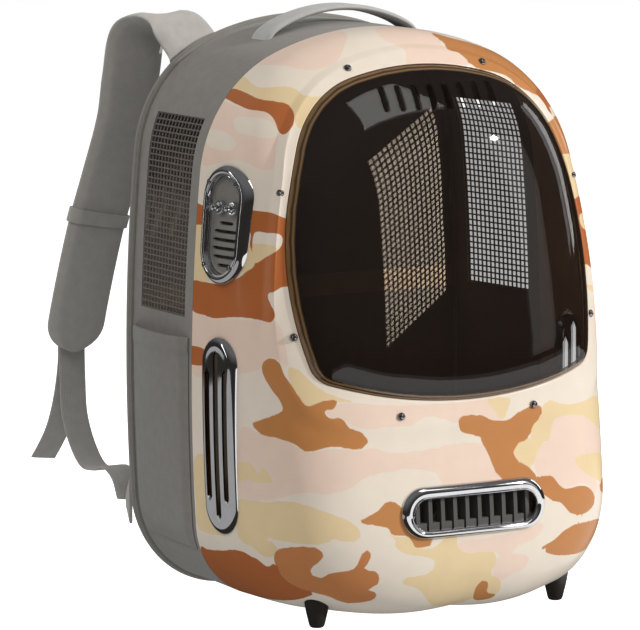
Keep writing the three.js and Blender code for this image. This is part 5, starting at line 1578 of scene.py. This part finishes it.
class CARRIER_OT_straps(bpy.types.Operator):
    """Makes both shoulder straps with their keepers, buckles, webbing and sewn tabs"""
    bl_idname = "carrier.straps"
    bl_label = "Shoulder straps"

    def execute(self, context):
        sizes, colours = context.scene.carrier_sizes, context.scene.carrier_colours
        padding = cloth_finish("strap cloth", colours.strap, 1.0, 0.1)
        tape = cloth_finish("strap webbing", colours.webbing, 1.4, 0.2)
        plastic = moulded_finish("buckle plastic", colours.plastic)
        for side, sign in SIDES:
            rows = self.pad_rows(side, sizes, 0.0, 120)
            rows = rows[rows[..., 1].max(1) > BACK_FACE_Y + ROOT_CLEAR]
            pad = skin(f"strap_pad_{side}_padding", mirrored(rows, sign), ends="strip")
            place(pad, "strap_cloth", f"strap_pad_{side}", sharp=60, finishes=[padding])
            sleeve = mirrored(self.keeper_rows(side, sizes), sign)
            keeper = skin(f"strap_keeper_{side}_sleeve", sleeve, loop=True)
            place(keeper, "strap_cloth", f"strap_keeper_{side}", sharp=50, finishes=[padding])
            for name, route in (("strap_webbing", RUN_ROUTE), ("strap_tail", TAIL_ROUTE)):
                rows = self.tape_rows(route, sizes)
                tape_piece = skin(f"{name}_{side}_tape", mirrored(rows, sign), ends="strip")
                place(tape_piece, "webbing", f"{name}_{side}", sharp=60, finishes=[tape])
            buckle = self.buckle(side, sign)
            place(buckle, "grey_plastic", f"strap_buckle_{side}", sharp=40, finishes=[plastic])
            anchor = self.anchor(side, sign)
            place(anchor, "strap_cloth", f"strap_anchor_{side}", sharp=50, finishes=[padding])
        return {"FINISHED"}

    def tape_rows(self, route, sizes):
        """Webbing along a route, cut off level under the buckle."""
        section = flat_section(sizes.webbing_width / MM, sizes.webbing_thick / MM, 0.7)
        rows = band_rows(route, (1, 0, 0), section, 70)
        rows[..., 2] = np.minimum(rows[..., 2], BUCKLE["z"] - BUCKLE["height"] / 2 - GAP)
        return rows

    def pad_rows(self, side, sizes, grow, count):
        """The padded strap: a swelled section along its route, whose loop over the back is raised by the
        strap's share, rounded off at its lower end and kept behind the back."""
        route = np.array(STRAP_ROUTE, float)
        high = route[:, 2] > LOOP_FROM_Z
        route[high, 2] = LOOP_FROM_Z + (route[high, 2] - LOOP_FROM_Z) * LOOP_SHARE[side]
        left = np.linspace(1, 0, count) * run_length(route_at(route, 200))
        widths = np.sqrt(np.clip(1 - np.clip(1 - left / STRAP_END, 0, 1) ** 2, 0.02, 1))
        wide, thick = sizes.strap_width / MM + grow, sizes.strap_thick / MM + grow
        section = flat_section(wide, thick, 1.7 + grow / 2, 20)
        rows = band_rows(route, (1, 0, 0), section, count, widths)
        rows[..., 1] = np.maximum(rows[..., 1], BACK_FACE_Y)
        return rows

    def keeper_rows(self, side, sizes):
        """A sleeve round the strap: two growths of the strap's section over a short stretch of it, joined
        at both ends."""
        count = 400
        first, last = (int((KEEPER["at"] + half) * count) for half in (-KEEPER["half"], KEEPER["half"]))
        outer, inner = (self.pad_rows(side, sizes, grow, count)[first:last:3] for grow in KEEPER["grows"])
        return np.concatenate((outer, inner[::-1]))

    def buckle(self, side, sign):
        """A flat adjuster: rounded rectangles with eased edges, and two slots cut through."""
        back = STRAP_ROUTE[-1][1] + BUCKLE["off_pad"] + 2 * GAP
        rows = []
        for inset, depth in BUCKLE_PROFILE:
            width, height = BUCKLE["width"] - 2 * inset, BUCKLE["height"] - 2 * inset
            loop = rounded(width, height, max(0.5, BUCKLE["corner"] - inset), 80, 64)
            rows.append(upright(loop + (BUCKLE["x"], BUCKLE["z"]), back + depth))
        piece = skin(f"strap_buckle_{side}_plate", mirrored(np.array(rows), sign), ends="strip")
        slot = oval(BUCKLE["slot_length"], BUCKLE["slot_width"], 20)
        heights = (BUCKLE["z"] - BUCKLE["slot_lift"], BUCKLE["z"] + BUCKLE["slot_lift"])
        start, end = (back + depth for depth in BUCKLE["cut"])
        cut(piece, [prism("y", slot + (sign * -BUCKLE["x"], z), start, end) for z in heights])
        return piece

    def anchor(self, side, sign):
        """The tab sewn to the rim that holds the webbing's end: its side view carried across its
        thickness."""
        back = GUSSET_DEPTH + GAP + RIM_DEPTH + GAP
        low_tip, high_tip = ANCHOR["tip_z"] - ANCHOR["tip_half"], ANCHOR["tip_z"] + ANCHOR["tip_half"]
        tab = np.array(((back, ANCHOR["bottom"]), (ANCHOR["tip_y"], low_tip), (ANCHOR["tip_y"], high_tip),
                        (back, ANCHOR["top"])))
        loop = spaced(tab, 48, closed=True)
        rows = []
        for share, across in ((0.9, -1), (0.98, -0.9), (1, -0.6), (1, 0.6), (0.98, 0.9), (0.9, 1)):
            flat = loop.mean(0) + (loop - loop.mean(0)) * share
            x = np.full(len(loop), ANCHOR["x"] + across * ANCHOR["thick"] / 2)
            rows.append(np.column_stack((x, flat)))
        return skin(f"strap_anchor_{side}_tab", mirrored(np.array(rows), sign), ends="strip")


class CARRIER_PT_panel(bpy.types.Panel):
    """Lists the carrier's sizes, colours and pieces"""
    bl_idname = "CARRIER_PT_panel"
    bl_label = "Pet carrier"
    bl_space_type = "VIEW_3D"
    bl_region_type = "UI"
    bl_category = "Carrier"

    def draw(self, context):
        for operator in OPERATORS:
            self.layout.operator(operator.bl_idname)
        for group in (context.scene.carrier_sizes, context.scene.carrier_colours):
            box = self.layout.box()
            for key in group.__annotations__:
                box.prop(group, key)


OPERATORS = (
    CARRIER_OT_shell, CARRIER_OT_window, CARRIER_OT_grille, CARRIER_OT_vents, CARRIER_OT_control,
    CARRIER_OT_body, CARRIER_OT_back, CARRIER_OT_pockets, CARRIER_OT_feet, CARRIER_OT_handle,
    CARRIER_OT_straps, CARRIER_OT_stage,
)
CLASSES = (CarrierSizes, CarrierColours, *OPERATORS, CARRIER_PT_panel)


def register():
    """Adds the classes and the scene's two groups of properties."""
    for kind in CLASSES:
        bpy.utils.register_class(kind)
    bpy.types.Scene.carrier_sizes = bpy.props.PointerProperty(type=CarrierSizes)
    bpy.types.Scene.carrier_colours = bpy.props.PointerProperty(type=CarrierColours)


def unregister():
    """Takes them away again."""
    del bpy.types.Scene.carrier_colours
    del bpy.types.Scene.carrier_sizes
    for kind in reversed(CLASSES):
        bpy.utils.unregister_class(kind)


def main():
    """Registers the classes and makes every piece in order."""
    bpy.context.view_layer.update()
    register()
    for operator in OPERATORS:
        group, name = operator.bl_idname.split(".")
        getattr(getattr(bpy.ops, group), name)()


if __name__ == "__main__":
    main()
